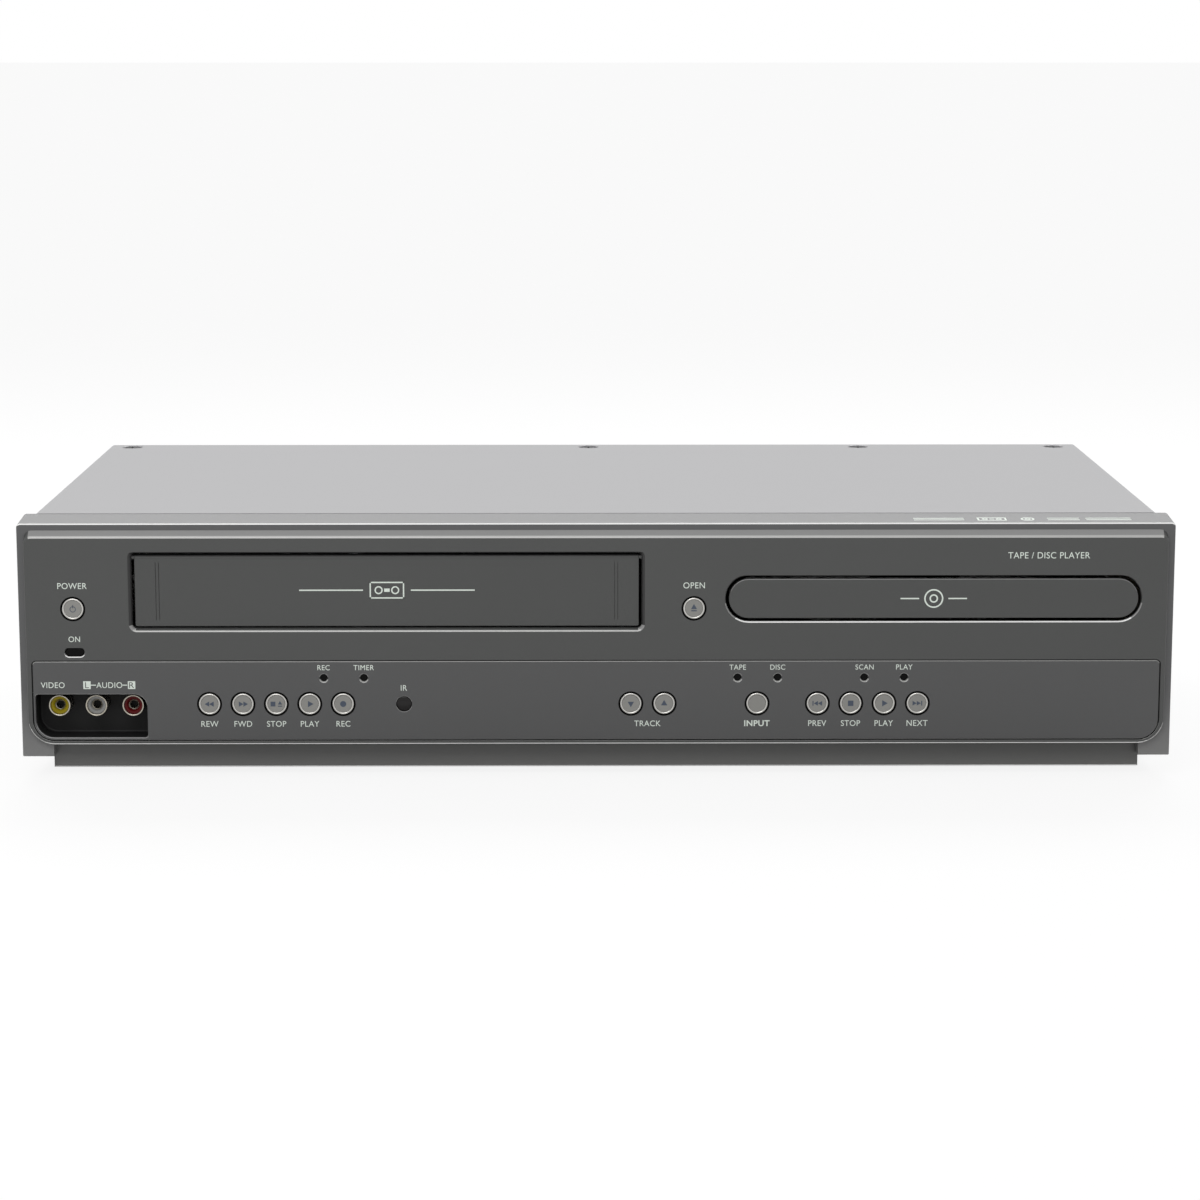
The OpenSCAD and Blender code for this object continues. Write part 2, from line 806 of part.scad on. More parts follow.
// Button: a round cap with a chamfered rim, a flange behind the bezel wall and a stem
module button(at) {
    rim = 0.5;
    stem_end = plunger_y - press - 0.1;
    color([0.6, 0.59, 0.57])
        translate([at[0], face_y, at[1]])
            rotate([-90, 0, 0])
                rotate_extrude()
                    polygon([
                        [0, 0.15], [cap_r - 2 * rim, 0.15], [cap_r - 1.6 * rim, 0],
                        [cap_r - rim, 0], [cap_r, rim], [cap_r, bezel_t + 0.3],
                        [cap_r + 1.3, bezel_t + 0.3], [cap_r + 1.3, bezel_t + 1.3],
                        [2, bezel_t + 1.3], [2, stem_end - face_y], [0, stem_end - face_y]
                    ]);
}

module power_button() { button(power_at); }
module open_button() { button(open_at); }
module rewind_button() { button(tape_key(0)); }
module forward_button() { button(tape_key(1)); }
module tape_stop_button() { button(tape_key(2)); }
module tape_play_button() { button(tape_key(3)); }
module record_button() { button(tape_key(4)); }
module track_down_button() { button(track_key(0)); }
module track_up_button() { button(track_key(1)); }
module source_button() { button(source_at); }
module previous_button() { button(disc_key(0)); }
module disc_stop_button() { button(disc_key(1)); }
module disc_play_button() { button(disc_key(2)); }
module next_button() { button(disc_key(3)); }

// Cassette flap: a long door with a rounded hinge edge, two grooves and a pin at each end
module cassette_flap() {
    x0 = slot_x - flap_w / 2;
    x1 = slot_x + flap_w / 2;
    groove_x = flap_w / 2 - 8.8;
    color([0.3, 0.3, 0.3]) {
        difference() {
            union() {
                along_y(flap_front_y, flap_front_y + flap_t)
                    plate2d(x0, slot_z + 0.5, x1, hinge_z, 0.8, 0.4);
                translate([x0, hinge_y, hinge_z])
                    rotate([0, 90, 0])
                        cylinder(r = flap_t / 2 + 0.12, h = flap_w);
            }
            for (side = [-1, 1])
                block([slot_x + side * groove_x - 0.4, flap_front_y - 1, slot_z + 2.5],
                    [slot_x + side * groove_x + 0.4, flap_front_y + 0.6, hinge_z - 2]);
        }
        for (side = [-1, 1])
            translate([slot_x + side * (flap_w / 2 - 1), hinge_y, hinge_z])
                rotate([0, side * 90, 0])
                    cylinder(r = hinge_r, h = 4.2);
    }
}

// Top cover: one folded sheet over the top and both sides, with cooling slots and screw dimples
dimple_r = head_r + 0.9;
dimple_h = head_h + 0.2;
top_screws_y = rear_y - 7;
vent_y = rear_y - 98.5;
vent_z = floor_z + 30;

module cover_section(hw, top) {
    plate2d(-hw, floor_z - 2, hw, top, 1, cover_fold_r);
}

module top_cover() {
    color([0.73, 0.73, 0.75]) {
        difference() {
            along_y(cover_y, rear_y)
                cover_section(cover_hw, body_h);
            along_y(cover_y - 1, rear_y + 1)
                plate2d(-cover_hw + sheet_t, floor_z - 4, cover_hw - sheet_t, cover_under_z, 1,
                    cover_fold_r - sheet_t + 0.3);
            block([-cover_hw - 1, cover_y - 1, floor_z - 4], [cover_hw + 1, rear_y + 1, floor_z]);
            for (x = top_screws_x)
                post(x, top_screws_y, dimple_r - sheet_t * 0.6, body_h - 3, body_h + 1);
            for (side = [-1, 1], y = side_screws_y)
                translate([side * (cover_hw - 3), y, side_screw_z])
                    rotate([0, side * 90, 0])
                        cylinder(r = shank_r + 0.1, h = 6);
            for (i = [0:vent_count - 1])
                block([-cover_hw - 1, vent_y + i * vent_pitch, vent_z],
                    [cover_hw + 1, vent_y + i * vent_pitch + vent_w, vent_z + vent_len]);
        }
        for (x = top_screws_x)
            difference() {
                post(x, top_screws_y, dimple_r, body_h - dimple_h - 0.6, body_h - eps);
                post(x, top_screws_y, dimple_r - sheet_t * 0.6, body_h - dimple_h, body_h + 1);
                post(x, top_screws_y, shank_r + 0.1, body_h - 4, body_h + 1);
            }
    }
}

// Bottom chassis: a flat tray with side flanges, standoffs for the boards and pillars
deck_posts = [
    for (sx = [-1, 1], y = [deck_y0 + 10, deck_y1 - 8]) [slot_x + sx * (deck_hw - 7), y]
];
loader_posts = [
    for (sx = [-1, 1], y = [loader_y0 + 22, loader_y1 - 8]) [tray_x + sx * (loader_hw - 5), y]
];
board_post_x = inner_hw - 8.45;
board_post_y = face_y + 48;
board_posts = [
    for (x = [-board_post_x, slot_x - 1.2, tray_x - 86.7, board_post_x]) [x, board_post_y],
    [-board_post_x, power_board_y - 16], [tray_x - 96.7, power_board_y - 16],
    [board_post_x, power_board_y - 22]
];
power_posts = [
    for (at = [[6, 4], [70, 4], [6, 40], [34, 40]]) [power_board_x + at[0], power_board_y + at[1]]
];
floor_slot = [3, 20];
floor_slot_pitch = 12;

module floor_slot_cut(x, y) {
    block([x, y, floor_z - 1], [x + floor_slot[0], y + floor_slot[1], base_z + 1]);
}

module bottom_chassis() {
    y0 = cover_y + 7;
    y1 = panel_front_y - 0.2;
    color([0.62, 0.63, 0.63]) {
        difference() {
            union() {
                block([-inner_hw, y0, floor_z], [inner_hw, y1, base_z]);
                block([-plinth_w / 2 + 4, cover_y + 0.2, floor_z], [plinth_w / 2 - 4, y0 + eps, base_z]);
                for (side = [-1, 1])
                    block([side * (inner_hw - sheet_t / 2) - sheet_t / 2, y0, floor_z],
                        [side * (inner_hw - sheet_t / 2) + sheet_t / 2, y1, floor_z + flange_h]);
            }
            for (side = [-1, 1], y = side_screws_y)
                translate([side * (inner_hw - 3), y, side_screw_z])
                    rotate([0, side * 90, 0])
                        cylinder(r = shank_r + 0.05, h = 6);
            for (i = [0:7], y = [deck_y0 + 32, deck_y0 + 62])
                floor_slot_cut(slot_x - 41.2 + i * floor_slot_pitch, y);
            for (i = [0:5], y = [disc_y + 16, disc_y + 46])
                floor_slot_cut(tray_x - 30.7 + i * floor_slot_pitch, y);
        }
        for (at = deck_posts)
            post(at[0], at[1], 3.6, base_z - eps, deck_under);
        for (at = loader_posts)
            post(at[0], at[1], 3.6, base_z - eps, loader_floor - loader_floor_t);
        for (at = concat(board_posts, power_posts))
            post(at[0], at[1], 2.6, base_z - eps, boards_z);
    }
}

// Feet: four round pads pressed under the chassis
module feet() {
    color([0.1, 0.1, 0.1])
        for (sx = [-1, 1], sy = [-1, 1])
            translate([sx * foot_x, sy * foot_y, 0])
                rotate_extrude()
                    polygon([
                        [0, 0], [foot_r - 1, 0], [foot_r, 1], [foot_r, foot_h - 1],
                        [foot_r - 0.6, foot_h], [0, foot_h]
                    ]);
}

// Rear panel: a flat sheet with holes for the connectors, a grille and a flange under the cover
grille_at = [disc_jacks_x[0] + 10, 60];
grille_pitch = 9;

module rear_panel() {
    color([0.62, 0.63, 0.63])
        difference() {
            union() {
                block([-inner_hw, panel_front_y, floor_z], [inner_hw, panel_rear_y, rear_flange_z]);
                block([-inner_hw + 3, top_screws_y - 6, rear_flange_z - sheet_t],
                    [inner_hw - 3, panel_rear_y, rear_flange_z]);
                block([-inner_hw + 3, panel_front_y - 6, base_z],
                    [-foot_x + 20, panel_rear_y, base_z + sheet_t]);
                block([foot_x - 20, panel_front_y - 6, base_z],
                    [inner_hw - 3, panel_rear_y, base_z + sheet_t]);
            }
            for (x = tape_jacks_x, z = rear_rows_z)
                peg(x, z, sleeve_r + 1.6, panel_front_y - 1, panel_rear_y + 1);
            for (x = disc_jacks_x, z = rear_rows_z)
                peg(x, z, sleeve_r + 1.6, panel_front_y - 1, panel_rear_y + 1);
            for (z = tuner_z)
                peg(tuner_x, z, antenna_r + 0.6, panel_front_y - 1, panel_rear_y + 1);
            peg(gland_at[0], gland_at[1], gland_r + 0.1, panel_front_y - 1, panel_rear_y + 1);
            for (x = top_screws_x)
                post(x, top_screws_y, shank_r + 0.05, rear_flange_z - 3, rear_flange_z + 1);
            for (at = rear_screws)
                peg(at[0], at[1], shank_r + 0.05, panel_front_y - 1, panel_rear_y + 1);
            for (i = [0:15])
                block([grille_at[0] + i * grille_pitch, panel_front_y - 1, grille_at[1]],
                    [grille_at[0] + i * grille_pitch + 4, panel_rear_y + 1, grille_at[1] + 24]);
        }
}

// Screws: one along the axis it is drawn on, with a domed head and a cross recess
module screw() {
    difference() {
        union() {
            rotate_extrude()
                polygon([[0, 0], [head_r, 0], [head_r, head_h * 0.45], [head_r * 0.72, head_h * 0.9],
                    [head_r * 0.4, head_h], [0, head_h]]);
            translate([0, 0, -shank_len])
                cylinder(r = shank_r, h = shank_len + eps);
        }
        for (turn = [0, 90])
            rotate([0, 0, turn])
                translate([-head_r * 0.5, -0.35, head_h * 0.4])
                    cube([head_r, 0.7, head_h]);
    }
}

module cover_screws() {
    color([0.12, 0.12, 0.12]) {
        for (x = top_screws_x)
            translate([x, top_screws_y, body_h - dimple_h + eps])
                screw();
        for (side = [-1, 1], y = side_screws_y)
            translate([side * (cover_hw + eps), y, side_screw_z])
                rotate([0, side * 90, 0])
                    screw();
        for (at = rear_screws)
            translate([at[0], panel_rear_y + eps, at[1]])
                rotate([-90, 0, 0])
                    screw();
    }
}

// Cord gland: a moulded bush through the rear panel, with the cord's bore
module cord_gland() {
    color([0.1, 0.1, 0.1])
        translate([gland_at[0], 0, gland_at[1]])
            rotate([-90, 0, 0])
                rotate_extrude()
                    polygon([
                        [cord_r, panel_front_y - 3], [gland_r, panel_front_y - 3],
                        [gland_r, panel_rear_y + eps], [gland_r + 2, panel_rear_y + eps],
                        [gland_r + 2, panel_rear_y + 2], [gland_r - 0.6, panel_rear_y + 2.4],
                        [cord_r + 1.4, rear_y + 6], [cord_r, rear_y + 6]
                    ]);
}

// Rear jacks: two moulded blocks with plated sleeves that pass through the panel
module jack_block(columns) {
    difference() {
        block([columns[0] - 8, panel_front_y - 7, boards_z + board_t],
            [columns[len(columns) - 1] + 8, panel_front_y - 0.2, rear_rows_z[1] + 7]);
        for (x = columns, z = rear_rows_z)
            peg(x, z, 1.6, panel_front_y - 5, panel_front_y + 1);
    }
    for (x = columns, z = rear_rows_z)
        difference() {
            peg(x, z, sleeve_r, panel_front_y - 0.2 - eps, body_d / 2);
            peg(x, z, 1.6, panel_front_y - 1, body_d / 2 + 1);
            peg(x, z, sleeve_r - 0.7, body_d / 2 - 0.6, body_d / 2 + 1);
        }
}

module rear_jacks() {
    color([0.14, 0.14, 0.15]) {
        jack_block(tape_jacks_x);
        jack_block(disc_jacks_x);
    }
}

// Antenna tuner: a screened can with two threaded connectors
module antenna_tuner() {
    color([0.75, 0.76, 0.76]) {
        block([tuner_x - tuner_w / 2, panel_front_y - 38, boards_z + board_t],
            [tuner_x + tuner_w / 2, panel_front_y - 0.2, tuner_z[1] + 8]);
        for (z = tuner_z)
            difference() {
                peg(tuner_x, z, antenna_r, panel_front_y - 0.2 - eps, rear_y + 8.5);
                peg(tuner_x, z, 1, rear_y, rear_y + 9);
            }
    }
}

// Main board: under both mechanisms, with its chips and cans, and holes for the pillars
can_step = 12;

module chip(x, y, w, d) {
    block([x, y, boards_z + board_t], [x + w, y + d, boards_z + board_t + 2.5]);
}

module can(x, y) {
    post(x, y, 4, boards_z + board_t, boards_z + board_t + 11);
}

module main_board() {
    board_hw = inner_hw - 5;
    color([0.1, 0.33, 0.15])
        difference() {
            union() {
                block([-board_hw, face_y + 32, boards_z],
                    [board_hw, power_board_y - 4, boards_z + board_t]);
                block([-board_hw, power_board_y - 6, boards_z],
                    [power_board_x - 4, panel_front_y - 0.6, boards_z + board_t]);
            }
            for (at = concat(deck_posts, loader_posts))
                post(at[0], at[1], 4.4, boards_z - 1, boards_z + board_t + 1);
        }
    color([0.12, 0.12, 0.13]) {
        chip(slot_x - 71.2, board_post_y + 40, 28, 28);
        chip(slot_x - 25.2, board_post_y + 4, 16, 16);
        chip(tray_x - 26.7, board_post_y + 40, 32, 32);
        chip(tray_x + 23.3, board_post_y + 76, 18, 12);
        for (i = [0:2])
            can(tray_x - 56.7 + i * can_step, power_board_y - 26);
        for (i = [0:1])
            can(12.45 - inner_hw + i * can_step, power_board_y - 32);
    }
}

// Power board: transformer, main capacitor and heat sink
module power_board() {
    top = boards_z + board_t;
    translate([power_board_x, power_board_y, 0]) {
        color([0.55, 0.42, 0.22])
            block([0, 0, boards_z], [73.45, 44.3, top]);
        color([0.85, 0.75, 0.2])
            block([8, 8, top], [34, 32, top + 24]);
        color([0.1, 0.1, 0.12])
            post(64, 16, 11, top, top + 28);
        color([0.7, 0.7, 0.7])
            block([40, 6, top], [42, 36, top + 30]);
    }
}

// Tape deck: steel plate with bearings, guide posts and the audio head block
guide_posts = [[-52, 4], [-44, 20], [44, 14], [-36, -8]];

module tape_deck() {
    color([0.66, 0.67, 0.68]) {
        difference() {
            block([slot_x - deck_hw, deck_y0, deck_under], [slot_x + deck_hw, deck_y1, deck_z]);
            post(capstan_x, capstan_y, capstan_r + run, deck_under - 1, deck_z + 1);
        }
        difference() {
            post(capstan_x, capstan_y, 4.5, deck_z - eps, deck_z + 5);
            post(capstan_x, capstan_y, capstan_r + run, deck_z - 1, deck_z + 6);
        }
        for (side = [-1, 1])
            post(slot_x + side * reel_pitch / 2, reel_y, 1.5, deck_z - eps, reel_top - 2);
        post(pinch_x, pinch_y, 2, deck_z - eps, deck_z + 16);
        for (at = guide_posts)
            post(drum_x + at[0], drum_y + at[1], 2.5, deck_z - eps, drum_top - 4);
        block([drum_x + 38, drum_y - 14, deck_z - eps], [drum_x + 50, drum_y - 4, drum_top - 8]);
    }
}

// Side brackets: the two plates on the deck that the carriage runs in
module side_brackets() {
    bracket_top = carriage_top_z + 1;
    y0 = deck_y0 + 1;
    y1 = guide_y2 + go_in + 8;
    color([0.72, 0.73, 0.73])
        for (side = [-1, 1])
            difference() {
                block([slot_x + side * (bracket_in + bracket_t / 2) - bracket_t / 2, y0, deck_z],
                    [slot_x + side * (bracket_in + bracket_t / 2) + bracket_t / 2, y1, bracket_top]);
                along_x(slot_x - bracket_hw - 1, slot_x + bracket_hw + 1)
                    stadium2d((guide_y1 + guide_y2 + go_in) / 2, carriage_pin_z,
                        guide_y2 - guide_y1 + go_in + 2 * (guide_r + guide_gap),
                        2 * (guide_r + guide_gap));
            }
}

// Loading carriage: carries the cassette holder in and out, and lets it down in its upright slots
module carriage_pins(z, x_from, x_to) {
    for (side = [-1, 1], y = [guide_y1, guide_y2])
        translate([slot_x + side * x_from, y, z])
            rotate([0, side * 90, 0])
                cylinder(r = guide_r, h = x_to - x_from);
}

module loading_carriage() {
    top = carriage_top_z + carriage_t;
    color([0.2, 0.2, 0.2]) {
        difference() {
            union() {
                for (side = [-1, 1])
                    block([slot_x + side * (carriage_in + carriage_t / 2) - carriage_t / 2, holder_y,
                        holder_pin_z - go_down - 4],
                        [slot_x + side * (carriage_in + carriage_t / 2) + carriage_t / 2,
                        holder_y + holder_d, top]);
                for (y = [holder_y, holder_y + holder_d - 18])
                    block([slot_x - carriage_hw, y, carriage_top_z], [slot_x + carriage_hw, y + 18, top]);
            }
            for (y = [guide_y1, guide_y2])
                along_x(slot_x - carriage_hw - 1, slot_x + carriage_hw + 1)
                    translate([y, holder_pin_z - go_down / 2])
                        rotate([0, 0, 90])
                            stadium2d(0, 0, go_down + 2 * (guide_r + guide_gap),
                                2 * (guide_r + guide_gap));
        }
        carriage_pins(carriage_pin_z, carriage_hw - eps, bracket_hw);
    }
}

// Cassette holder: a basket open below and in front that grips the cassette's sides
module cassette_holder() {
    z0 = slot_z - 1;
    color([0.78, 0.78, 0.76]) {
        for (side = [-1, 1]) {
            block([slot_x + side * (holder_hw - holder_t / 2) - holder_t / 2, holder_y, z0],
                [slot_x + side * (holder_hw - holder_t / 2) + holder_t / 2, holder_y + holder_d,
                holder_top_z]);
            block([slot_x + side * (holder_in - 5) - 5 - eps, holder_y, z0],
                [slot_x + side * (holder_in - 5) + 5 + eps, holder_y + holder_d, slot_z - 0.2]);
            block([slot_x + side * (holder_in - 7) - 7 - eps, holder_y + holder_d - holder_t, z0],
                [slot_x + side * (holder_in - 7) + 7 + eps, holder_y + holder_d, slot_z + 7]);
        }
        difference() {
            block([slot_x - holder_hw, holder_y, holder_top_z - holder_t],
                [slot_x + holder_hw, holder_y + holder_d, holder_top_z]);
            for (x = [-58, 0, 58])
                block([slot_x + x - 20, holder_y + 16, holder_top_z - 3],
                    [slot_x + x + 20, holder_y + holder_d - 12, holder_top_z + 1]);
        }
        carriage_pins(holder_pin_z, holder_hw - eps, carriage_hw);
    }
}

// Lower drum: the fixed half of the tape drum, with the spindle
module lower_drum() {
    color([0.7, 0.71, 0.72]) {
        post(drum_x, drum_y, drum_r, deck_z, drum_split - 0.2);
        post(drum_x, drum_y, 3, drum_split - 1, drum_top - 1);
    }
}

// Head drum: the half that spins and carries the video heads
module head_drum() {
    color([0.82, 0.83, 0.84])
        difference() {
            translate([drum_x, drum_y, 0])
                rotate_extrude()
                    polygon([
                        [3 + run, drum_split + 0.2], [drum_r, drum_split + 0.2],
                        [drum_r, drum_top - 0.6], [drum_r - 0.6, drum_top], [14, drum_top],
                        [13, drum_top - 3], [3 + run, drum_top - 3]
                    ]);
            for (turn = [0:90:270])
                rotate_about(drum_x, drum_y, turn)
                    block([drum_x + drum_r - 3, drum_y - 1.5, drum_split],
                        [drum_x + drum_r + 1, drum_y + 1.5, drum_split + 1.8]);
        }
}

module rotate_about(x, y, a) {
    translate([x, y, 0])
        rotate([0, 0, a])
            translate([-x, -y, 0])
                children();
}

// Capstan: the shaft that pulls the tape, with its flywheel under the deck
module capstan() {
    wheel_top = deck_under - 4;
    color([0.5, 0.5, 0.52]) {
        post(capstan_x, capstan_y, capstan_r, wheel_top - 6, capstan_top);
        difference() {
            post(capstan_x, capstan_y, flywheel_r, wheel_top - 5.5, wheel_top);
            for (turn = [0:60:300])
                rotate_about(capstan_x, capstan_y, turn)
                    post(capstan_x + 14, capstan_y, 4, wheel_top - 7, wheel_top + 1);
        }
    }
}

// Pinch arm: swings the rubber roller against the capstan
arm_z = deck_z + 7;

module pinch_arm() {
    color([0.6, 0.6, 0.62])
        rotate_about(pinch_x, pinch_y, pinch_open) {
            difference() {
                union() {
                    post(pinch_x, pinch_y, 4.5, deck_z + 0.3, arm_z + 6);
                    block([pinch_x + 3.2, pinch_y - 2.5, arm_z],
                        [pinch_x + pinch_len - 1.3, pinch_y + 2.5, arm_z + 2]);
                    post(pinch_x + pinch_len, pinch_y, 3.6, arm_z - 0.5, arm_z + 5);
                }
                post(pinch_x, pinch_y, 2 + run, deck_z, arm_z + 7);
            }
            post(pinch_x + pinch_len, pinch_y, 1, arm_z + 4, arm_z + 21);
        }
}

// Pinch roller: the rubber roller on the end of the pinch arm
module pinch_roller() {
    roller_at = [pinch_x + pinch_len * cos(pinch_open), pinch_y + pinch_len * sin(pinch_open)];
    color([0.08, 0.08, 0.08])
        difference() {
            post(roller_at[0], roller_at[1], roller_r, arm_z + 5.2, arm_z + 19);
            post(roller_at[0], roller_at[1], 1 + run, arm_z + 5, arm_z + 20);
        }
}

// Reel tables: the splined hubs that turn the cassette's reels
module reel_table(x) {
    color([0.86, 0.86, 0.84])
        difference() {
            union() {
                post(x, reel_y, 17, deck_z + 0.3, deck_z + 3.3);
                post(x, reel_y, 8, deck_z + 3, reel_top);
                for (turn = [0:60:300])
                    rotate_about(x, reel_y, turn)
                        block([x + 7, reel_y - 0.8, deck_z + 3], [x + 10, reel_y + 0.8, reel_top - 2]);
            }
            post(x, reel_y, 1.5 + run, deck_z, reel_top - 1.5);
            for (turn = [30:60:330])
                rotate_about(x, reel_y, turn)
                    post(x + 12.5, reel_y, 2.2, deck_z, deck_z + 4);
        }
}

module supply_reel() { reel_table(slot_x - reel_pitch / 2); }
module takeup_reel() { reel_table(slot_x + reel_pitch / 2); }

// Loader frame: plastic base with side walls, tray guides, gear pin and lift posts
lift_posts = [for (sx = [-1, 1], y = [lift_post_y0, lift_post_y1]) [tray_x + sx * lift_post_x, y]];

module loader_frame() {
    floor_under = loader_floor - loader_floor_t;
    color([0.16, 0.16, 0.16]) {
        difference() {
            union() {
                block([tray_x - loader_hw, loader_y0 + 12, floor_under],
                    [tray_x + loader_hw, loader_y1, loader_floor]);
                for (side = [-1, 1]) {
                    block([tray_x + side * (loader_in + loader_t / 2) - loader_t / 2, loader_y0 + 4,
                        floor_under],
                        [tray_x + side * (loader_in + loader_t / 2) + loader_t / 2, loader_y1,
                        loader_wall_top]);
                    block([tray_x + side * (guide_in + loader_in) / 2 - (loader_in - guide_in) / 2 - eps,
                        loader_y0 + 4, tray_under - 3.5],
                        [tray_x + side * (guide_in + loader_in) / 2 + (loader_in - guide_in) / 2 + eps,
                        loader_y1, tray_under - slide_gap]);
                    block([tray_x + side * (guide_in + loader_in) / 2 - (loader_in - guide_in) / 2 - eps,
                        loader_y0 + 4, tray_top + slide_gap],
                        [tray_x + side * (guide_in + loader_in) / 2 + (loader_in - guide_in) / 2 + eps,
                        loader_y0 + 60, tray_top + 2.3]);
                }
                block([tray_x - loader_hw, loader_y1 - loader_t, floor_under],
                    [tray_x + loader_hw, loader_y1, tray_top]);
                for (at = lift_posts)
                    post(at[0], at[1], 4, loader_floor - eps, lift_boss_z - 0.1);
            }
            block([tray_x - 28, traverse_y0 - 3, floor_under - 1],
                [tray_x + 28, traverse_y1 - 10, loader_floor + 1]);
            post(motor_x, motor_y, 2.5, floor_under - 1, loader_floor + 1);
        }
        for (at = lift_posts)
            post(at[0], at[1], lift_post_r, lift_boss_z - 1, tray_under - 0.5);
        post(gear_x, gear_y, 2, loader_floor - eps, tray_under - 0.5);
    }
}

// Clamp bridge: steel strip over the tray that carries the clamper
module clamp_bridge() {
    color([0.66, 0.67, 0.68])
        difference() {
            union() {
                block([tray_x - loader_hw, disc_y - 20, bridge_z],
                    [tray_x + loader_hw, disc_y + 20, bridge_z + bridge_t]);
                for (y = [disc_y - 20, disc_y + 20 - bridge_t])
                    block([tray_x - loader_hw + 8, y, bridge_z], [tray_x + loader_hw - 8, y + bridge_t,
                        bridge_z + 4]);
            }
            post(tray_x, disc_y, clamper_r + 0.4, bridge_z - 1, bridge_z + 5);
        }
}

// Clamper: the magnetic disc that presses a disc on the turntable
module clamper() {
    low = tray_top + 0.5;
    color([0.12, 0.12, 0.12])
        translate([tray_x, disc_y, 0])
            rotate_extrude()
                polygon([
                    [cone_r + 0.6, low], [clamper_r, low], [clamper_r, bridge_z + bridge_t + 0.2],
                    [clamper_r + 3, bridge_z + bridge_t + 0.2], [clamper_r + 3, bridge_z + bridge_t + 1.4],
                    [0, bridge_z + bridge_t + 1.4], [0, low + 2.4], [cone_r + 0.6, low + 2.4]
                ]);
}

// Disc tray: with recesses for large and small discs, the track for the pickup, and its rack
module rack_teeth() {
    count = floor((tray_out + 12) / rack_tooth) - 1;
    half = rack_tooth / 4 - tooth_slack / 2;
    for (i = [-1:count])
        translate([rack_x, gear_y + i * rack_tooth, rack_under])
            linear_extrude(tray_under - rack_under + eps)
                polygon([
                    [-1.25 * gear_m - eps, -half - 0.45 * gear_m], [gear_m, -half + 0.36 * gear_m],
                    [gear_m, half - 0.36 * gear_m], [-1.25 * gear_m - eps, half + 0.45 * gear_m]
                ]);
}

module disc_tray() {
    color([0.14, 0.14, 0.14]) {
        difference() {
            block([tray_x - tray_hw, tray_y0, tray_under], [tray_x + tray_hw, tray_y1, tray_top]);
            post(tray_x, disc_y, disc_r, recess_floor, tray_top + 1);
            post(tray_x, disc_y, small_r, small_floor, tray_top + 1);
            post(tray_x, disc_y, slot_hw, tray_under - 1, tray_top + 1);
            block([tray_x - slot_hw, disc_y, tray_under - 1], [tray_x + slot_hw, track_y1, tray_top + 1]);
            for (side = [-1, 1])
                post(tray_x + side * (disc_r - 6), disc_y - disc_r + 8, 9, recess_floor - 0.8, tray_top + 1);
        }
        block([rack_x - rack_back, gear_y - 6, rack_under],
            [rack_x - 1.25 * gear_m, gear_y + tray_out + 6, tray_under + eps]);
        rack_teeth();
    }
}

// Tray front: the stadium-shaped door on the front of the tray
module tray_front() {
    color([0.32, 0.32, 0.32]) {
        along_y(face_y + 0.7, face_y + 3.7)
            stadium2d(tray_x, front_z, front_w, front_h);
        along_y(face_y, face_y + 0.7 + eps)
            stadium2d(tray_x, front_z, front_w - 0.8, front_h - 0.8);
        block([tray_x - tray_hw + 8, face_y + 3.6, tray_under + 0.4],
            [tray_x + tray_hw - 8, tray_y0, tray_top - 0.4]);
    }
}

// Tray gear: pinion in mesh with the tray's rack, on one hub with the belt wheel
module belt_wheel(r, z, h) {
    rotate_extrude()
        polygon([[0, z], [r + 1, z], [r + 1, z + 1], [r, z + 1.4], [r, z + h - 1.4], [r + 1, z + h - 1],
            [r + 1, z + h], [0, z + h]]);
}

module tray_gear() {
    pinion_z = rack_under + 0.2;
    color([0.85, 0.84, 0.8])
        translate([gear_x, gear_y, 0])
            difference() {
                union() {
                    belt_wheel(wheel_r, wheel_z, wheel_h);
                    translate([0, 0, loader_floor + slide_gap])
                        cylinder(r = 5, h = pinion_z - loader_floor - slide_gap + eps);
                    translate([0, 0, pinion_z])
                        rotate([0, 0, 180 / gear_n])
                            linear_extrude(tray_under - pinion_z - slide_gap)
                                gear2d(gear_n, gear_m, tooth_slack / 2);
                }
                translate([0, 0, loader_floor])
                    cylinder(r = 2 + run, h = 40);
            }
}

// Tray motor: a small can under the loader floor
module tray_motor() {
    top = loader_floor - loader_floor_t;
    color([0.6, 0.6, 0.6]) {
        post(motor_x, motor_y, 11.5, top - 12, top);
        post(motor_x, motor_y, 1, top - eps, wheel_z + wheel_h + 1);
    }
}

// Motor pulley: on the motor's shaft, in line with the belt wheel
module motor_pulley() {
    color([0.8, 0.78, 0.72])
        difference() {
            translate([motor_x, motor_y, 0])
                belt_wheel(pulley_r, wheel_z, wheel_h);
            post(motor_x, motor_y, 1 + run, wheel_z - 1, wheel_z + wheel_h + 1);
        }
}

// Tray belt: a square rubber belt round the pulley and the wheel
module belt_loop(extra) {
    hull() {
        translate([gear_x, gear_y])
            circle(r = wheel_r + belt_gap + extra);
        translate([motor_x, motor_y])
            circle(r = pulley_r + belt_gap + extra);
    }
}

module tray_belt() {
    mid_z = wheel_z + wheel_h / 2;
    color([0.06, 0.06, 0.06])
        translate([0, 0, mid_z - belt_t / 2])
            linear_extrude(belt_t)
                difference() {
                    belt_loop(belt_t * 0.6);
                    belt_loop(0);
                }
}

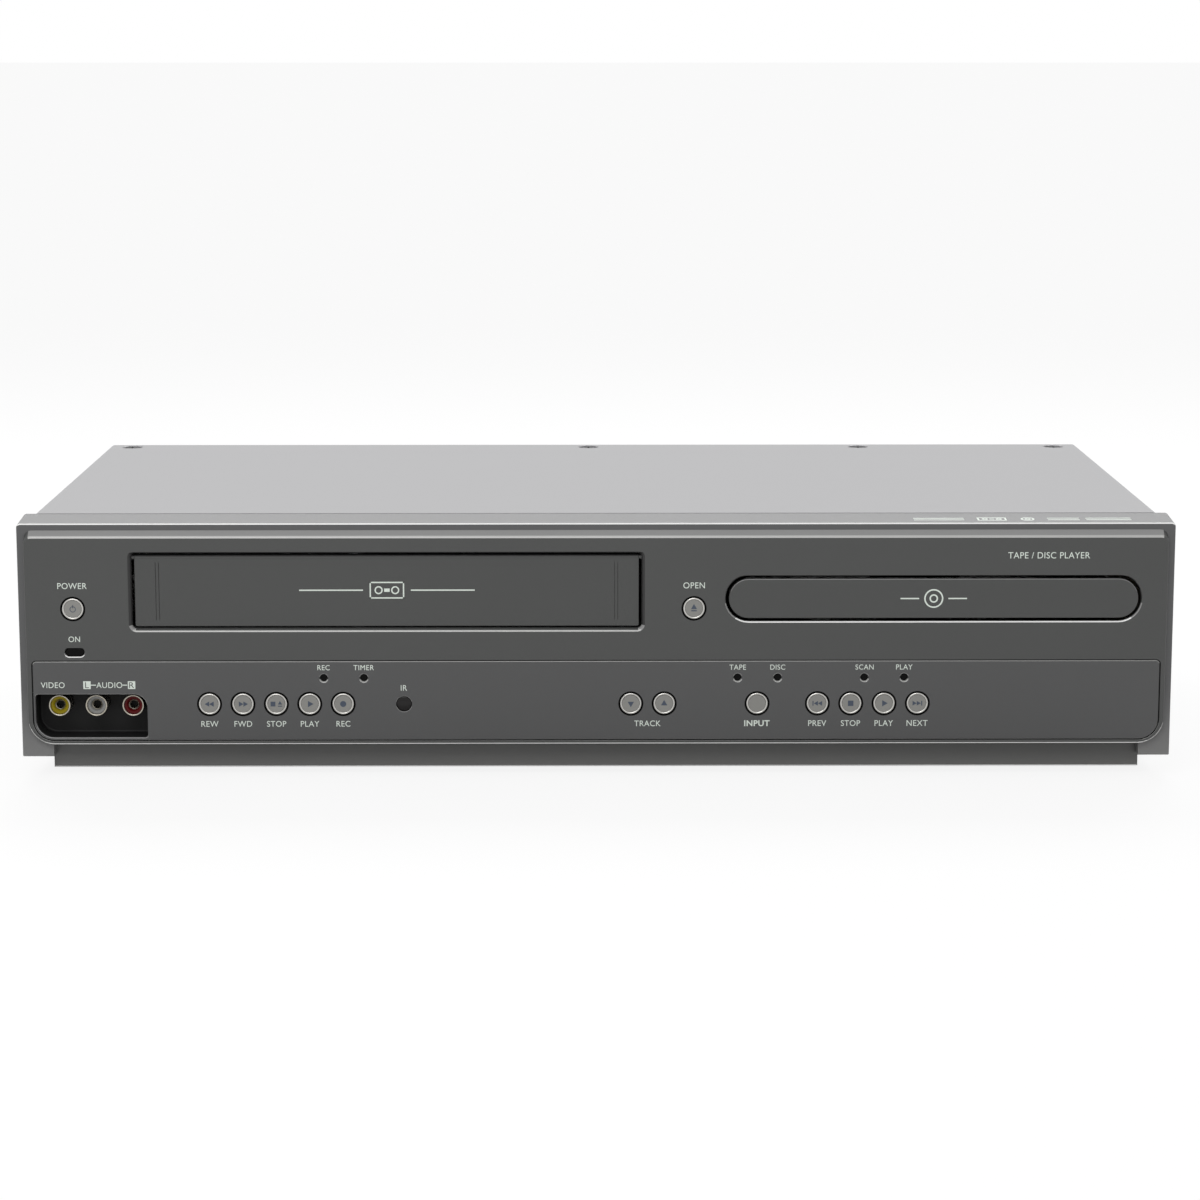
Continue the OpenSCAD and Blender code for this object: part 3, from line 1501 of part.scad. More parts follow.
// Traverse: the plate that lifts spindle, rods and pickup up to the disc
module traverse() {
    window_y0 = disc_y + 13;
    window_y1 = sled_y + sled_d / 2 + sled_out + 2;
    color([0.7, 0.7, 0.71]) {
        difference() {
            union() {
                block([tray_x - traverse_hw, traverse_y0, traverse_z],
                    [tray_x + traverse_hw, traverse_y1, traverse_z + traverse_t]);
                for (at = lift_posts)
                    post(at[0], at[1], 3.6, lift_boss_z, traverse_z + 6);
                for (side = [-1, 1], y = [traverse_y0 + 9, window_y1 + 4])
                    block([tray_x + side * rod_x - 2.6, y - 2, traverse_z],
                        [tray_x + side * rod_x + 2.6, y + 2, rod_z + 2.3]);
            }
            block([tray_x - 20, window_y0, traverse_z - 1],
                [tray_x + 20, window_y1, traverse_z + traverse_t + 1]);
            for (at = lift_posts)
                post(at[0], at[1], lift_post_r + run, lift_boss_z - 1, traverse_z + 7);
            for (side = [-1, 1])
                translate([tray_x + side * rod_x, 0, 0])
                    peg(0, rod_z, rod_r + 0.01, traverse_y0, traverse_y1 + 5);
            post(tray_x, disc_y, 6, traverse_z - 1, traverse_z + traverse_t + 1);
        }
    }
}

// Guide rods: the two polished rods that the sled runs on
module guide_rods() {
    window_y1 = sled_y + sled_d / 2 + sled_out + 2;
    color([0.85, 0.86, 0.87])
        for (side = [-1, 1])
            peg(tray_x + side * rod_x, rod_z, rod_r, traverse_y0 + 6, window_y1 + 6.5);
}

// Spindle motor: under the traverse, with the shaft that carries the turntable
module spindle_motor() {
    color([0.6, 0.61, 0.62]) {
        post(tray_x, disc_y, 11, traverse_z - 6, traverse_z);
        post(tray_x, disc_y, 5, traverse_z - eps, traverse_z + traverse_t + 0.5);
        post(tray_x, disc_y, spindle_r, traverse_z, seat_z - 1);
    }
}

// Turntable: the disc's seat with its centring cone
module turntable() {
    color([0.13, 0.13, 0.13])
        translate([tray_x, disc_y, 0])
            rotate_extrude()
                polygon([
                    [spindle_r + run, traverse_z + traverse_t + 0.9], [5.5, traverse_z + traverse_t + 0.9],
                    [5.5, seat_z - 2.6], [table_r, seat_z - 2.6], [table_r, seat_z],
                    [cone_r, seat_z], [cone_r, seat_z + 1], [cone_r - 2.4, seat_z + cone_h],
                    [0, seat_z + cone_h], [0, seat_z - 0.8], [spindle_r + run, seat_z - 0.8]
                ]);
}

// Pickup sled: runs on the rods and carries the lens
module pickup_sled() {
    y0 = sled_y - sled_d / 2;
    y1 = sled_y + sled_d / 2;
    color([0.2, 0.2, 0.22]) {
        difference() {
            union() {
                block([tray_x - 18, y0 + 3, traverse_z + traverse_t + 0.4],
                    [tray_x + 18, y1, sled_top]);
                block([tray_x - rod_x - 3, y0 + 7, traverse_z + traverse_t + 0.4],
                    [tray_x + rod_x + 3, y1 - 3, sled_top]);
            }
            for (side = [-1, 1])
                peg(tray_x + side * rod_x, rod_z, rod_r + run, y0, y1 + 1);
        }
        post(tray_x, sled_y, 7, sled_top - eps, lens_top - 0.8);
        post(tray_x, sled_y, 3, lens_top - 0.9, lens_top);
    }
}

front_bezel();
control_panel();
top_cover();
bottom_chassis();
rear_panel();
feet();
cover_screws();
cord_gland();
cassette_flap();
jack_recess();
jack_sleeves();
jack_rings();
ir_window();
power_lens();
status_lights();
front_board();
switches();
power_button();
open_button();
rewind_button();
forward_button();
tape_stop_button();
tape_play_button();
record_button();
track_down_button();
track_up_button();
source_button();
previous_button();
disc_stop_button();
disc_play_button();
next_button();
main_board();
power_board();
rear_jacks();
antenna_tuner();
tape_deck();
side_brackets();
loading_carriage();
cassette_holder();
lower_drum();
head_drum();
capstan();
pinch_arm();
pinch_roller();
supply_reel();
takeup_reel();
loader_frame();
clamp_bridge();
clamper();
disc_tray();
tray_front();
tray_gear();
tray_motor();
motor_pulley();
tray_belt();
traverse();
guide_rods();
spindle_motor();
turntable();
pickup_sled();
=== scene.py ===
import json
import math
from contextlib import contextmanager

import bmesh
import bpy
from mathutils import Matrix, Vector


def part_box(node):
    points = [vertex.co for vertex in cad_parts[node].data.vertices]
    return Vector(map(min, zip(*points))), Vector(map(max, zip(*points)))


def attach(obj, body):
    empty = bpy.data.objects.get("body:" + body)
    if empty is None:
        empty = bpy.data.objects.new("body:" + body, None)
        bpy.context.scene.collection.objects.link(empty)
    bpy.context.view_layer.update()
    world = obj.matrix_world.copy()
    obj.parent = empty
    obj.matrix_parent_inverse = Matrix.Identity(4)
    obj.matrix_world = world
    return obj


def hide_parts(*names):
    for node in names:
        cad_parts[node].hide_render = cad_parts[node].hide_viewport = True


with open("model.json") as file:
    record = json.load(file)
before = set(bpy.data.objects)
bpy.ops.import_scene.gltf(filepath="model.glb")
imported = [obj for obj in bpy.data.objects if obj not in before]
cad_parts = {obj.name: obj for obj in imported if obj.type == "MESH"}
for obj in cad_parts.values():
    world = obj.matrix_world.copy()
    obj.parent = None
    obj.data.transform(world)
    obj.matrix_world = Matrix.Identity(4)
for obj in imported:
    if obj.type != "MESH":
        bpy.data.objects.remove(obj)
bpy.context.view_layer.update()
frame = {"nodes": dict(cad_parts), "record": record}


# Chassis. The pan, the rear panel, the deck plate and the brackets are zinc-plated steel sheet, punched
# and bent. The plating keeps a faint spangle, and every other steel piece inside is bolted to them.
MM = 0.001


class Value:
    """What a node gives, wrapped so that shader maths reads as plain sums."""

    def __init__(self, nodes, socket):
        self.nodes = nodes
        self.socket = socket

    def math(self, operation, first, second):
        return self.nodes.node("ShaderNodeMath", {"operation": operation}, {0: first, 1: second})

    def __add__(self, other):
        return self.math("ADD", self, other)

    def __mul__(self, other):
        return self.math("MULTIPLY", self, other)

    def __gt__(self, other):
        return self.math("GREATER_THAN", self, other)

    def __or__(self, other):
        return self.math("MAXIMUM", self, other)

    __radd__ = __add__
    __rmul__ = __mul__


class Nodes:
    """A node tree, with one way to add a node of any type and one to set or link its inputs."""

    def __init__(self, tree):
        self.tree = tree

    def feed(self, node, inputs):
        for name, value in inputs.items():
            if isinstance(value, Value):
                self.tree.links.new(value.socket, node.inputs[name])
            else:
                node.inputs[name].default_value = value

    def node(self, kind, settings, inputs, output=0):
        node = self.tree.nodes.new(kind)
        for name, value in settings.items():
            setattr(node, name, value)
        self.feed(node, inputs)
        return Value(self, node.outputs[output])


class Finish(Nodes):
    """One paint, plastic, rubber or metal: a shader with its plain numbers set, and patterns fed to it."""

    def __init__(self, name, colour, roughness, **numbers):
        self.material = bpy.data.materials.new(name)
        self.material.use_nodes = True
        super().__init__(self.material.node_tree)
        self.shader = self.tree.nodes["Principled BSDF"]
        self.colour = colour
        self.roughness = roughness
        named = {key.replace("_", " "): value for key, value in numbers.items()}
        self.feed(self.shader, {"Base Color": (*colour, 1), "Roughness": roughness, **named})
        self.place = self.node("ShaderNodeTexCoord", {}, {}, "Object")

    def noise(self, size, detail=2, stretch=(1, 1, 1)):
        """Noise with blotches of about this size, drawn out along an axis where stretch is under 1."""
        spot = self.place
        if stretch != (1, 1, 1):
            spot = self.node("ShaderNodeMapping", {}, {"Vector": spot, "Scale": stretch})
        return self.node("ShaderNodeTexNoise", {}, {"Vector": spot, "Scale": 1 / size, "Detail": detail})

    def mix(self, share, first, second):
        colours = {6: (*first, 1), 7: (*second, 1)}
        return self.node("ShaderNodeMix", {"data_type": "RGBA"}, {0: share, **colours}, 2)

    def vary(self, pattern, tone, gloss):
        """Lets colour and roughness drift by shares of themselves as the pattern goes from 0 to 1."""
        dark = [c * (1 - tone) for c in self.colour]
        pale = [c * (1 + tone) for c in self.colour]
        rough = self.roughness * (1 - gloss) + pattern * (2 * gloss * self.roughness)
        self.feed(self.shader, {"Base Color": self.mix(pattern, dark, pale), "Roughness": rough})

    def bump(self, height, depth):
        normal = self.node("ShaderNodeBump", {}, {"Height": height, "Distance": depth})
        self.feed(self.shader, {"Normal": normal})


def sheet_steel(name, colour, roughness=0.42, spangle=7 * MM):
    """Plated sheet: patches of crystal, and the fine lines that rolling leaves along X."""
    finish = Finish(name, colour, roughness, Metallic=1.0)
    near = {"Vector": finish.place, "Scale": 1 / spangle}
    crystals = finish.node("ShaderNodeTexVoronoi", {}, near, "Color") * 1.0
    lines = finish.noise(0.5 * MM, stretch=(0.03, 1, 1))
    finish.vary(crystals * 0.6 + lines * 0.4, tone=0.12, gloss=0.25)
    finish.bump(lines, depth=0.004 * MM)
    return finish


def dress(finish, *nodes):
    """Gives CAD nodes a finish. Their shapes stay as they are."""
    for name in nodes:
        materials = frame["nodes"][name].data.materials
        materials.clear()
        materials.append(finish.material)


dress(sheet_steel("zinc_plate", (0.36, 0.37, 0.38)), "bottom_chassis", "rear_panel", "tape_deck")
dress(sheet_steel("bracket_plate", (0.40, 0.40, 0.395)), "side_brackets", "clamp_bridge", "traverse")
dress(sheet_steel("holder_plate", (0.46, 0.46, 0.445), 0.36, 12 * MM), "cassette_holder")


# Feet. Four black rubber pads with a rounded tread ring and a hollow middle, pushed into the pan from
# below. Each is a turned shape, made once and copied.
TURNS = {"Z": (0, 0, 0), "-Z": (180, 0, 0), "Y": (-90, 0, 0), "-Y": (90, 0, 0), "X": (0, 90, 0),
         "-X": (0, -90, 0)}
BODY_OF = {node: body for body, nodes in frame["record"]["behaviour"]["bodies"].items() for node in nodes}
NEAR = 0.01 * MM


def only(piece):
    """Makes a piece the one that is selected and active."""
    bpy.ops.object.select_all(action="DESELECT")
    piece.select_set(True)
    bpy.context.view_layer.objects.active = piece


def put(piece, place, turn=(0, 0, 0)):
    """Turns a piece about the origin and moves it, all in its mesh."""
    only(piece)
    piece.rotation_euler = [math.radians(a) for a in turn]
    piece.location = place
    bpy.ops.object.transform_apply(location=True, rotation=True, scale=True)
    return piece


def label(piece, name):
    """Names a piece and its mesh."""
    piece.name = name
    piece.data.name = name
    return piece


def start(name, primitive, turn=(0, 0, 0), scale=(1, 1, 1), **at):
    """Adds a primitive at its size, turn and place, and names it."""
    bpy.ops.object.select_all(action="DESELECT")
    primitive(**at)
    piece = label(bpy.context.object, name)
    piece.scale = scale
    return put(piece, piece.location.copy(), turn)


def spot_and_way(part):
    """Where a corner, edge or face is, and its normal or, for an edge, its direction."""
    if isinstance(part, bmesh.types.BMVert):
        return part.co, part.normal
    if isinstance(part, bmesh.types.BMEdge):
        a, b = [corner.co for corner in part.verts]
        return (a + b) / 2, (b - a).normalized()
    return part.calc_center_median(), part.normal


@contextmanager
def editing(piece, kind, test):
    """Opens a piece in edit mode, with the corners, edges or faces selected whose spot and way pass."""
    only(piece)
    bpy.ops.object.mode_set(mode="EDIT")
    bpy.ops.mesh.select_mode(type=kind)
    bpy.ops.mesh.select_all(action="DESELECT")
    mesh = bmesh.from_edit_mesh(piece.data)
    for part in {"VERT": mesh.verts, "EDGE": mesh.edges, "FACE": mesh.faces}[kind]:
        if test(*spot_and_way(part)):
            part.select_set(True)
    mesh.select_flush_mode()
    bmesh.update_edit_mesh(piece.data)
    yield
    bpy.ops.object.mode_set(mode="OBJECT")


def anywhere(spot, way):
    return True


def draw_out(move):
    """Extrudes what is selected in edit mode."""
    bpy.ops.mesh.extrude_region_move(TRANSFORM_OT_translate={"value": move})


def tidy_mesh(piece):
    with editing(piece, "VERT", anywhere):
        bpy.ops.mesh.remove_doubles(threshold=0.001 * MM)
        bpy.ops.mesh.normals_make_consistent(inside=False)
    return piece


def turned(name, profile, place=(0, 0, 0), toward="Z", sides=48):
    """Turns a profile of (reach along the axis, radius) in millimetres, as on a lathe, with closed ends.
    A profile that comes back to its start is a ring."""
    ring = profile[0] == profile[-1]
    reach, radius = profile[0]
    piece = start(name, bpy.ops.mesh.primitive_circle_add, vertices=sides, radius=radius * MM,
                  location=(0, 0, reach * MM), fill_type="NOTHING" if ring else "NGON")
    with editing(piece, "VERT", anywhere):
        for (reach, radius), (further, wider) in zip(profile, profile[1:]):
            draw_out((0, 0, (further - reach) * MM))
            grow = wider / radius
            bpy.ops.transform.resize(value=(grow, grow, 1), center_override=(0, 0, further * MM))
    tidy_mesh(piece)
    return put(piece, place, TURNS[toward])


def copied(piece, name, place):
    only(piece)
    bpy.ops.object.duplicate()
    return put(label(bpy.context.object, name), place)


def joined(name, pieces):
    only(pieces[0])
    for piece in pieces:
        piece.select_set(True)
    bpy.ops.object.join()
    return label(bpy.context.object, name)


def placed_at(piece, name, places):
    """Copies a piece to each place and joins the copies, then drops the pattern piece."""
    copies = [copied(piece, name, place) for place in places]
    bpy.data.objects.remove(piece)
    return joined(name, copies)


def apply_modifier(piece, kind, **settings):
    only(piece)
    modifier = piece.modifiers.new(kind, kind)
    for name, value in settings.items():
        setattr(modifier, name, value)
    bpy.ops.object.modifier_apply(modifier=modifier.name)


def smooth(piece):
    """Shades rounded stretches smooth, and keeps flat faces flat up to their edges."""
    only(piece)
    bpy.ops.object.shade_smooth_by_angle(angle=math.radians(32))
    apply_modifier(piece, "WEIGHTED_NORMAL", keep_sharp=True)
    return piece


def paint(piece, finish, test=None):
    """Gives a finish to a piece, or to those of its faces whose spot and way pass."""
    if not test:
        piece.data.materials.clear()
    piece.data.materials.append(finish.material)
    piece.active_material_index = len(piece.data.materials) - 1
    with editing(piece, "FACE", test or anywhere):
        bpy.ops.object.material_slot_assign()
    return piece


def stands_for(piece, slot, *nodes):
    """A finished piece that is shown in place of CAD nodes, on their body."""
    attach(piece, BODY_OF[nodes[0]])
    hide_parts(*nodes)


def rubber(name, colour):
    """Moulded rubber: matt, with a dusty bloom in soft patches."""
    finish = Finish(name, colour, 0.7)
    finish.vary(finish.noise(6 * MM, detail=4), tone=0.25, gloss=0.12)
    finish.bump(finish.noise(0.25 * MM), depth=0.015 * MM)
    return finish


black_rubber = rubber("foot_rubber", (0.018, 0.018, 0.019))
foot_low, foot_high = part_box("feet")
foot_r = 11
foot_h = foot_high.z / MM
tread = [(0.9, 6.5), (0.9, 7), (0.3, 7.3), (0, 7.8), (0, foot_r - 1.4), (0.15, foot_r - 0.8)]
pad_side = [(0.5, foot_r - 0.3), (1.1, foot_r), (foot_h - 1, foot_r), (foot_h - 0.4, foot_r - 0.15)]
foot = turned("foot_pads", [*tread, *pad_side, (foot_h, foot_r - 0.6)])
foot_x = foot_r * MM + foot_low.x
foot_y = foot_r * MM + foot_low.y
foot_pads = placed_at(foot, "foot_pads", [(x * foot_x, y * foot_y, 0) for x in (-1, 1) for y in (-1, 1)])
smooth(foot_pads)
paint(foot_pads, black_rubber)
stands_for(foot_pads, "foot_rubber", "feet")


# Circuit boards. Green glass board under both mechanisms and behind the front, and a brown paper board
# for the mains. Solder mask, chips, cans and the transformer are told apart by their height.
def board(name, mask, part, split, axis):
    """A board's laminate below a height and its parts above it, along one axis."""
    finish = Finish(name, mask, 0.38)
    along = finish.node("ShaderNodeSeparateXYZ", {}, {"Vector": finish.place}, axis)
    grain = finish.noise(2 * MM, detail=3)
    tracks = finish.noise(5 * MM, detail=0, stretch=(0.15, 1, 1)) > 0.52
    laminate = finish.mix(tracks, mask, [c * 1.5 for c in mask])
    parts = finish.mix(grain, [c * 0.8 for c in part], [c * 1.2 for c in part])
    both = {0: along > split, 6: laminate, 7: parts}
    colour = finish.node("ShaderNodeMix", {"data_type": "RGBA"}, both, 2)
    finish.feed(finish.shader, {"Base Color": colour, "Roughness": 0.3 + grain * 0.2})
    finish.bump(tracks * 1.0, depth=0.03 * MM)
    return finish


board_green = (0.012, 0.09, 0.03)
board_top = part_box("main_board")[0].z + 1.7 * MM
board_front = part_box("power_lens")[1].y
dress(board("green_board", board_green, (0.02, 0.02, 0.022), board_top, "Z"), "main_board")
dress(board("mains_board", (0.28, 0.16, 0.06), (0.35, 0.26, 0.08), board_top, "Z"), "power_board")
dress(board("front_green", board_green, board_green, board_front, "Y"), "front_board")


# Tape mechanism. Turned aluminium drums, ground steel shafts, white acetal reel tables, a rubber pinch
# roller, and a black moulded carriage. The drums' turning marks run round them.
def plastic(name, colour, roughness, grain=0.35 * MM, relief=0.008 * MM, **numbers):
    """Moulded plastic: spark-eroded grain, and a slow drift of tone and gloss."""
    finish = Finish(name, colour, roughness, **numbers)
    clouds = finish.noise(35 * MM, detail=3)
    specks = finish.noise(grain)
    finish.vary(clouds * 0.5 + specks * 0.5, tone=0.10, gloss=0.16)
    finish.bump(specks, relief)
    return finish


def metal(name, colour, roughness, stretch=(1, 1, 0.02)):
    """Turned, ground or plated metal, with fine tool marks across the direction of the stretch."""
    finish = Finish(name, colour, roughness, Metallic=1.0)
    marks = finish.noise(0.3 * MM, 3, stretch)
    finish.vary(marks, tone=0.07, gloss=0.3)
    finish.bump(marks, depth=0.003 * MM)
    return finish


dress(metal("turned_alloy", (0.55, 0.56, 0.575), 0.27, (0.02, 0.02, 1)), "lower_drum", "head_drum")
dress(metal("ground_steel", (0.50, 0.50, 0.515), 0.24), "capstan", "pinch_arm", "guide_rods")
dress(metal("motor_can", (0.42, 0.42, 0.43), 0.34), "spindle_motor", "tray_motor")
dress(plastic("white_acetal", (0.68, 0.68, 0.64), 0.35), "supply_reel", "takeup_reel", "tray_gear",
      "motor_pulley")
dress(plastic("black_moulding", (0.020, 0.020, 0.021), 0.45), "loading_carriage", "loader_frame",
      "clamper", "turntable", "pickup_sled", "switches")
dress(black_rubber, "pinch_roller", "tray_belt")


# Disc tray. A flat black moulding with a stepped recess for large and small discs, finger notches, a long
# slot for the pickup, and a rack under its left side. All edges that a disc meets are rounded.
def block(name, low, high):
    middle = [(a + b) / 2 for a, b in zip(low, high)]
    size = [b - a for a, b in zip(low, high)]
    return start(name, bpy.ops.mesh.primitive_cube_add, size=1, location=middle, scale=size)


def round_off(piece, radius, test, segments=4):
    """Rounds the edges whose middle and direction pass."""
    with editing(piece, "EDGE", test):
        bpy.ops.mesh.bevel(offset=radius, segments=segments, affect="EDGES")
    return piece


def runs_along(axis):
    """Passes the edges that run along an axis."""
    return lambda spot, way: abs(getattr(way, axis)) > 0.9


def combine(piece, operation, *tools):
    """Adds tools to a piece, or cuts them out of it, and deletes them."""
    for tool in tools:
        apply_modifier(piece, "BOOLEAN", operation=operation, object=tool, solver="MANIFOLD")
        bpy.data.objects.remove(tool)
    return piece


def in_a_row(piece, count, step):
    """Repeats a piece at even steps."""
    apply_modifier(piece, "ARRAY", count=count, use_relative_offset=False, use_constant_offset=True,
                   constant_offset_displace=step)


def mid(node):
    """The middle of a CAD node's box, in X and Z."""
    low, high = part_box(node)
    return (low.x + high.x) / 2, (low.z + high.z) / 2


def angles(steps, turn=90):
    """The angles of even steps through a turn."""
    return [math.radians(turn * i / steps) for i in range(steps + 1)]


def rounded_mouth(radius, mouth, steps, way=1):
    """Lathe points for the rounded edge of a hole, from its wide end, that go along the axis or back."""
    return [(way * mouth * (1 - math.cos(a)), radius + mouth * (1 - math.sin(a))) for a in angles(steps)]


def bowl(radius, depth, mouth):
    """Lathe points for a cutter of a round recess, with a rounded mouth and a fillet round its floor."""
    return [(1, radius + mouth), *rounded_mouth(radius, mouth, 5, -1), (-depth + 0.3, radius),
            (-depth + 0.08, radius - 0.08), (-depth, radius - 0.3)]


tray_low, tray_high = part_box("disc_tray")
front_low, front_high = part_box("tray_front")
tray_x, tray_z = mid("tray_front")
tray_half = (tray_high.x - tray_low.x) / 2
tray_top = tray_high.z
tray_under = tray_top - 5.4 * MM
tray = block("tray_plate", (tray_x - tray_half, tray_low.y, tray_under),
             (tray_x + tray_half, tray_high.y, tray_top))
round_off(tray, 2.5 * MM, runs_along("z"), 5)
round_off(tray, 0.6 * MM, lambda spot, way: abs(way.z) < 0.1 and spot.z > tray_top - NEAR, 3)

disc_r = 60.8
disc_y = tray_low.y + (disc_r + 6.2) * MM
notch_y = disc_y + (8 - disc_r) * MM
finger_notches = joined("finger_notches", [
    turned("finger_notch", bowl(9, 3.4, 1.2), (tray_x + side * (disc_r - 6) * MM, notch_y, tray_top))
    for side in (-1, 1)
])
track_half = 18 * MM
track = block("track", (tray_x - track_half, disc_y, tray_under - MM),
              (tray_x + track_half, disc_y + 68 * MM, tray_top + MM))
round_off(track, 2 * MM, runs_along("z"), 4)
disc_mid = (tray_x, disc_y, tray_top)
combine(tray, "DIFFERENCE", turned("seat", bowl(disc_r, 2.6, 0.8), disc_mid, sides=144),
        turned("small_seat", bowl(40.6, 3.6, 0.5), disc_mid, sides=96), finger_notches,
        turned("hub_hole", bowl(18, 8, 0.4), disc_mid, sides=64), track)
smooth(tray)

gear_y = tray_low.y + 19 * MM
rack_x = tray_x - 51.7 * MM
rack_under = tray_low.z
tooth_step = math.pi * MM
rack = block("rack", (rack_x - 5 * MM, gear_y - 6 * MM, rack_under),
             (rack_x - 1.25 * MM, gear_y + 141 * MM, tray_under))
round_off(rack, 0.4 * MM, lambda spot, way: abs(way.y) > 0.9 and spot.z < rack_under + NEAR, 2)
tooth = block("tooth", (rack_x - 1.3 * MM, gear_y - tooth_step * 1.29, rack_under),
              (rack_x + MM, gear_y - tooth_step * 0.71, tray_under))
with editing(tooth, "FACE", lambda spot, way: way.x > 0.9):
    bpy.ops.transform.resize(value=(1, 0.5, 1), center_override=(0, gear_y - tooth_step, 0))
in_a_row(tooth, 46, (0, tooth_step, 0))
tray_plate = joined("tray_plate", [tray, rack, tooth])
paint(tray_plate, plastic("tray_moulding", (0.024, 0.024, 0.026), 0.38))
stands_for(tray_plate, "mechanism_black", "disc_tray")


# Front moulding. One piece of grey-black plastic with a fine paint on it: a sloping lip over the top, a
# frame with wings, a raised face with a sloping ledge, and a plinth set back under it. Its cutters stand
# a hair's breadth apart from the faces that they would share a plane with.
INK = 0.03 * MM
APART = 0.007 * MM
low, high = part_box("front_bezel")
case_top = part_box("top_cover")[1].z
half = high.x
face_y = low.y + INK
frame_y = low.y + 2.5 * MM
lip_back = frame_y + 16.5 * MM
lip_z = case_top - 0.08 * MM
lip_fall = 1.4 * MM
wing_z = 8.3 * MM
face_z = 13.5 * MM
face_half = half - 2.8 * MM
face_top = case_top - 6.3 * MM
ledge = 2.3 * MM
wall = 2.8 * MM
plinth_half = half - 10.9 * MM
plinth_y = frame_y + 5.5 * MM


def spans(low, high, grow=0):
    """A box's spans in X and Z, made larger by this on every side."""
    return (low.x - grow, high.x + grow), (low.z - grow, high.z + grow)


def away(spot, x, z):
    """How far a spot is from the line that runs straight back through x and z."""
    return math.hypot(spot.x - x, spot.z - z)


def front_rim(y):
    """Passes the edges round the front of a plate."""
    return lambda spot, way: spot.y < y + NEAR and abs(way.y) < 0.5


def slab(name, x, z, y, radii):
    """A plate across the front: its spans in X, Z and Y, and a radius for its lower left, lower right,
    upper right and upper left corners."""
    piece = block(name, *zip(x, y, z))
    corners = [(x[0], z[0]), (x[1], z[0]), (x[1], z[1]), (x[0], z[1])]
    for corner, radius in zip(corners, radii):
        round_off(piece, radius, lambda spot, way: abs(way.y) > 0.9 and away(spot, *corner) < NEAR, 8)
    return tidy_mesh(piece)


def opening(x, z, radii, mouth, front=face_y, deep=24 * MM):
    """The cutter for a hole through the front, with the hole's edge rounded over by its mouth."""
    front -= APART
    piece = slab("opening", (x[0] - mouth, x[1] + mouth), (z[0] - mouth, z[1] + mouth),
                 (front - MM, front), [r + mouth for r in radii])
    arc = angles(5)
    with editing(piece, "FACE", lambda spot, way: way.y > 0.9):
        for a, b in zip(arc, arc[1:]):
            bpy.ops.mesh.inset(thickness=mouth * (math.sin(b) - math.sin(a)),
                               depth=mouth * (math.cos(a) - math.cos(b)))
        draw_out((0, deep, 0))
    return piece


def drill(x, z, radius, mouth, front=face_y, deep=24):
    """The cutter for a round hole through the front, with its edge rounded over by its mouth."""
    profile = [(-1, radius + mouth), *rounded_mouth(radius, mouth, 4), (deep, radius)]
    return turned("drill", profile, (x, front - APART, z), "Y", sides=40)


moulding = block("front_moulding", (-half, frame_y, wing_z), (half, lip_back, lip_z))
with editing(moulding, "VERT", lambda spot, way: spot.y < frame_y + NEAR and spot.z > wing_z + NEAR):
    bpy.ops.transform.translate(value=(0, 0, -lip_fall))
round_off(moulding, 1.5 * MM, lambda spot, way: abs(way.y) > 0.9 and spot.z > wing_z + NEAR, 6)
round_off(moulding, 0.6 * MM, lambda spot, way: spot.y < frame_y + NEAR and spot.z > wing_z + NEAR, 5)
round_off(moulding, 0.4 * MM, lambda spot, way: spot.z < wing_z + NEAR, 3)
rise = ledge * (frame_y + MM - face_y) / (frame_y - face_y)
raised = slab("raised", (-face_half, face_half), (face_z, face_top + rise), (face_y, frame_y + MM),
              (9.8 * MM, 9.8 * MM, 3 * MM, 3 * MM))
with editing(raised, "VERT", lambda spot, way: spot.y < face_y + NEAR and spot.z > face_top):
    bpy.ops.transform.translate(value=(0, 0, -rise))
round_off(raised, 0.65 * MM, front_rim(face_y), 5)
plinth = block("plinth", (-plinth_half, plinth_y, low.z), (plinth_half, lip_back - MM, face_z - 0.1 * MM))
round_off(plinth, 0.8 * MM, lambda spot, way: spot.y < plinth_y + MM
          and (abs(way.z) > 0.9 or spot.z < low.z + NEAR))
notch = block("notch", (MM - plinth_half, frame_y - MM, low.z),
              (plinth_half - MM, plinth_y + APART, face_z - APART))
inner = block("inner", (wall - half, frame_y + wall, wing_z + wall),
              (half - wall, lip_back + MM, lip_z - 2 * wall))
shelf = block("shelf", (-plinth_half - wall, frame_y, wing_z),
              (plinth_half + wall, plinth_y + wall, face_z + wall))
hollow = block("hollow", (wall - face_half, face_y + wall, face_z + wall),
               (face_half - wall, frame_y + wall + MM, face_top - wall))
combine(inner, "DIFFERENCE", shelf)
combine(combine(moulding, "UNION", raised), "DIFFERENCE", notch, combine(inner, "UNION", hollow))

BUTTONS = ["power", "open", "rewind", "forward", "tape_stop", "tape_play", "record", "track_down",
           "track_up", "source", "previous", "disc_stop", "disc_play", "next"]
key_at = {key: mid(key + "_button") for key in BUTTONS}
step = key_at["forward"][0] - key_at["rewind"][0]
light_z = 39 * MM
light_x = [key_at["rewind"][0] + 3.43 * step, key_at["rewind"][0] + 4.63 * step,
           key_at["source"][0] - 7.4 * MM, key_at["source"][0] + 7.7 * MM,
           key_at["previous"][0] + 1.4 * step, key_at["previous"][0] + 2.59 * step]
hole_r = 4.6
ir_at = mid("ir_window")
flap_low, flap_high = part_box("cassette_flap")
slot_mid = mid("cassette_flap")[0]
slot_half = 95.65 * MM
slot_x = (slot_mid - slot_half, slot_mid + slot_half)
slot_z = (flap_low.z - 0.5 * MM, flap_low.z + 28 * MM)
tray_gap = 1.15 * MM
round_end = (front_high.z - front_low.z) / 2 - 0.02 * MM
panel_low, panel_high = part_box("control_panel")
panel_radii = (7.6 * MM, 7.6 * MM, 1.5 * MM, 1.5 * MM)
seam = 0.35 * MM
seam_mouth = 0.12 * MM
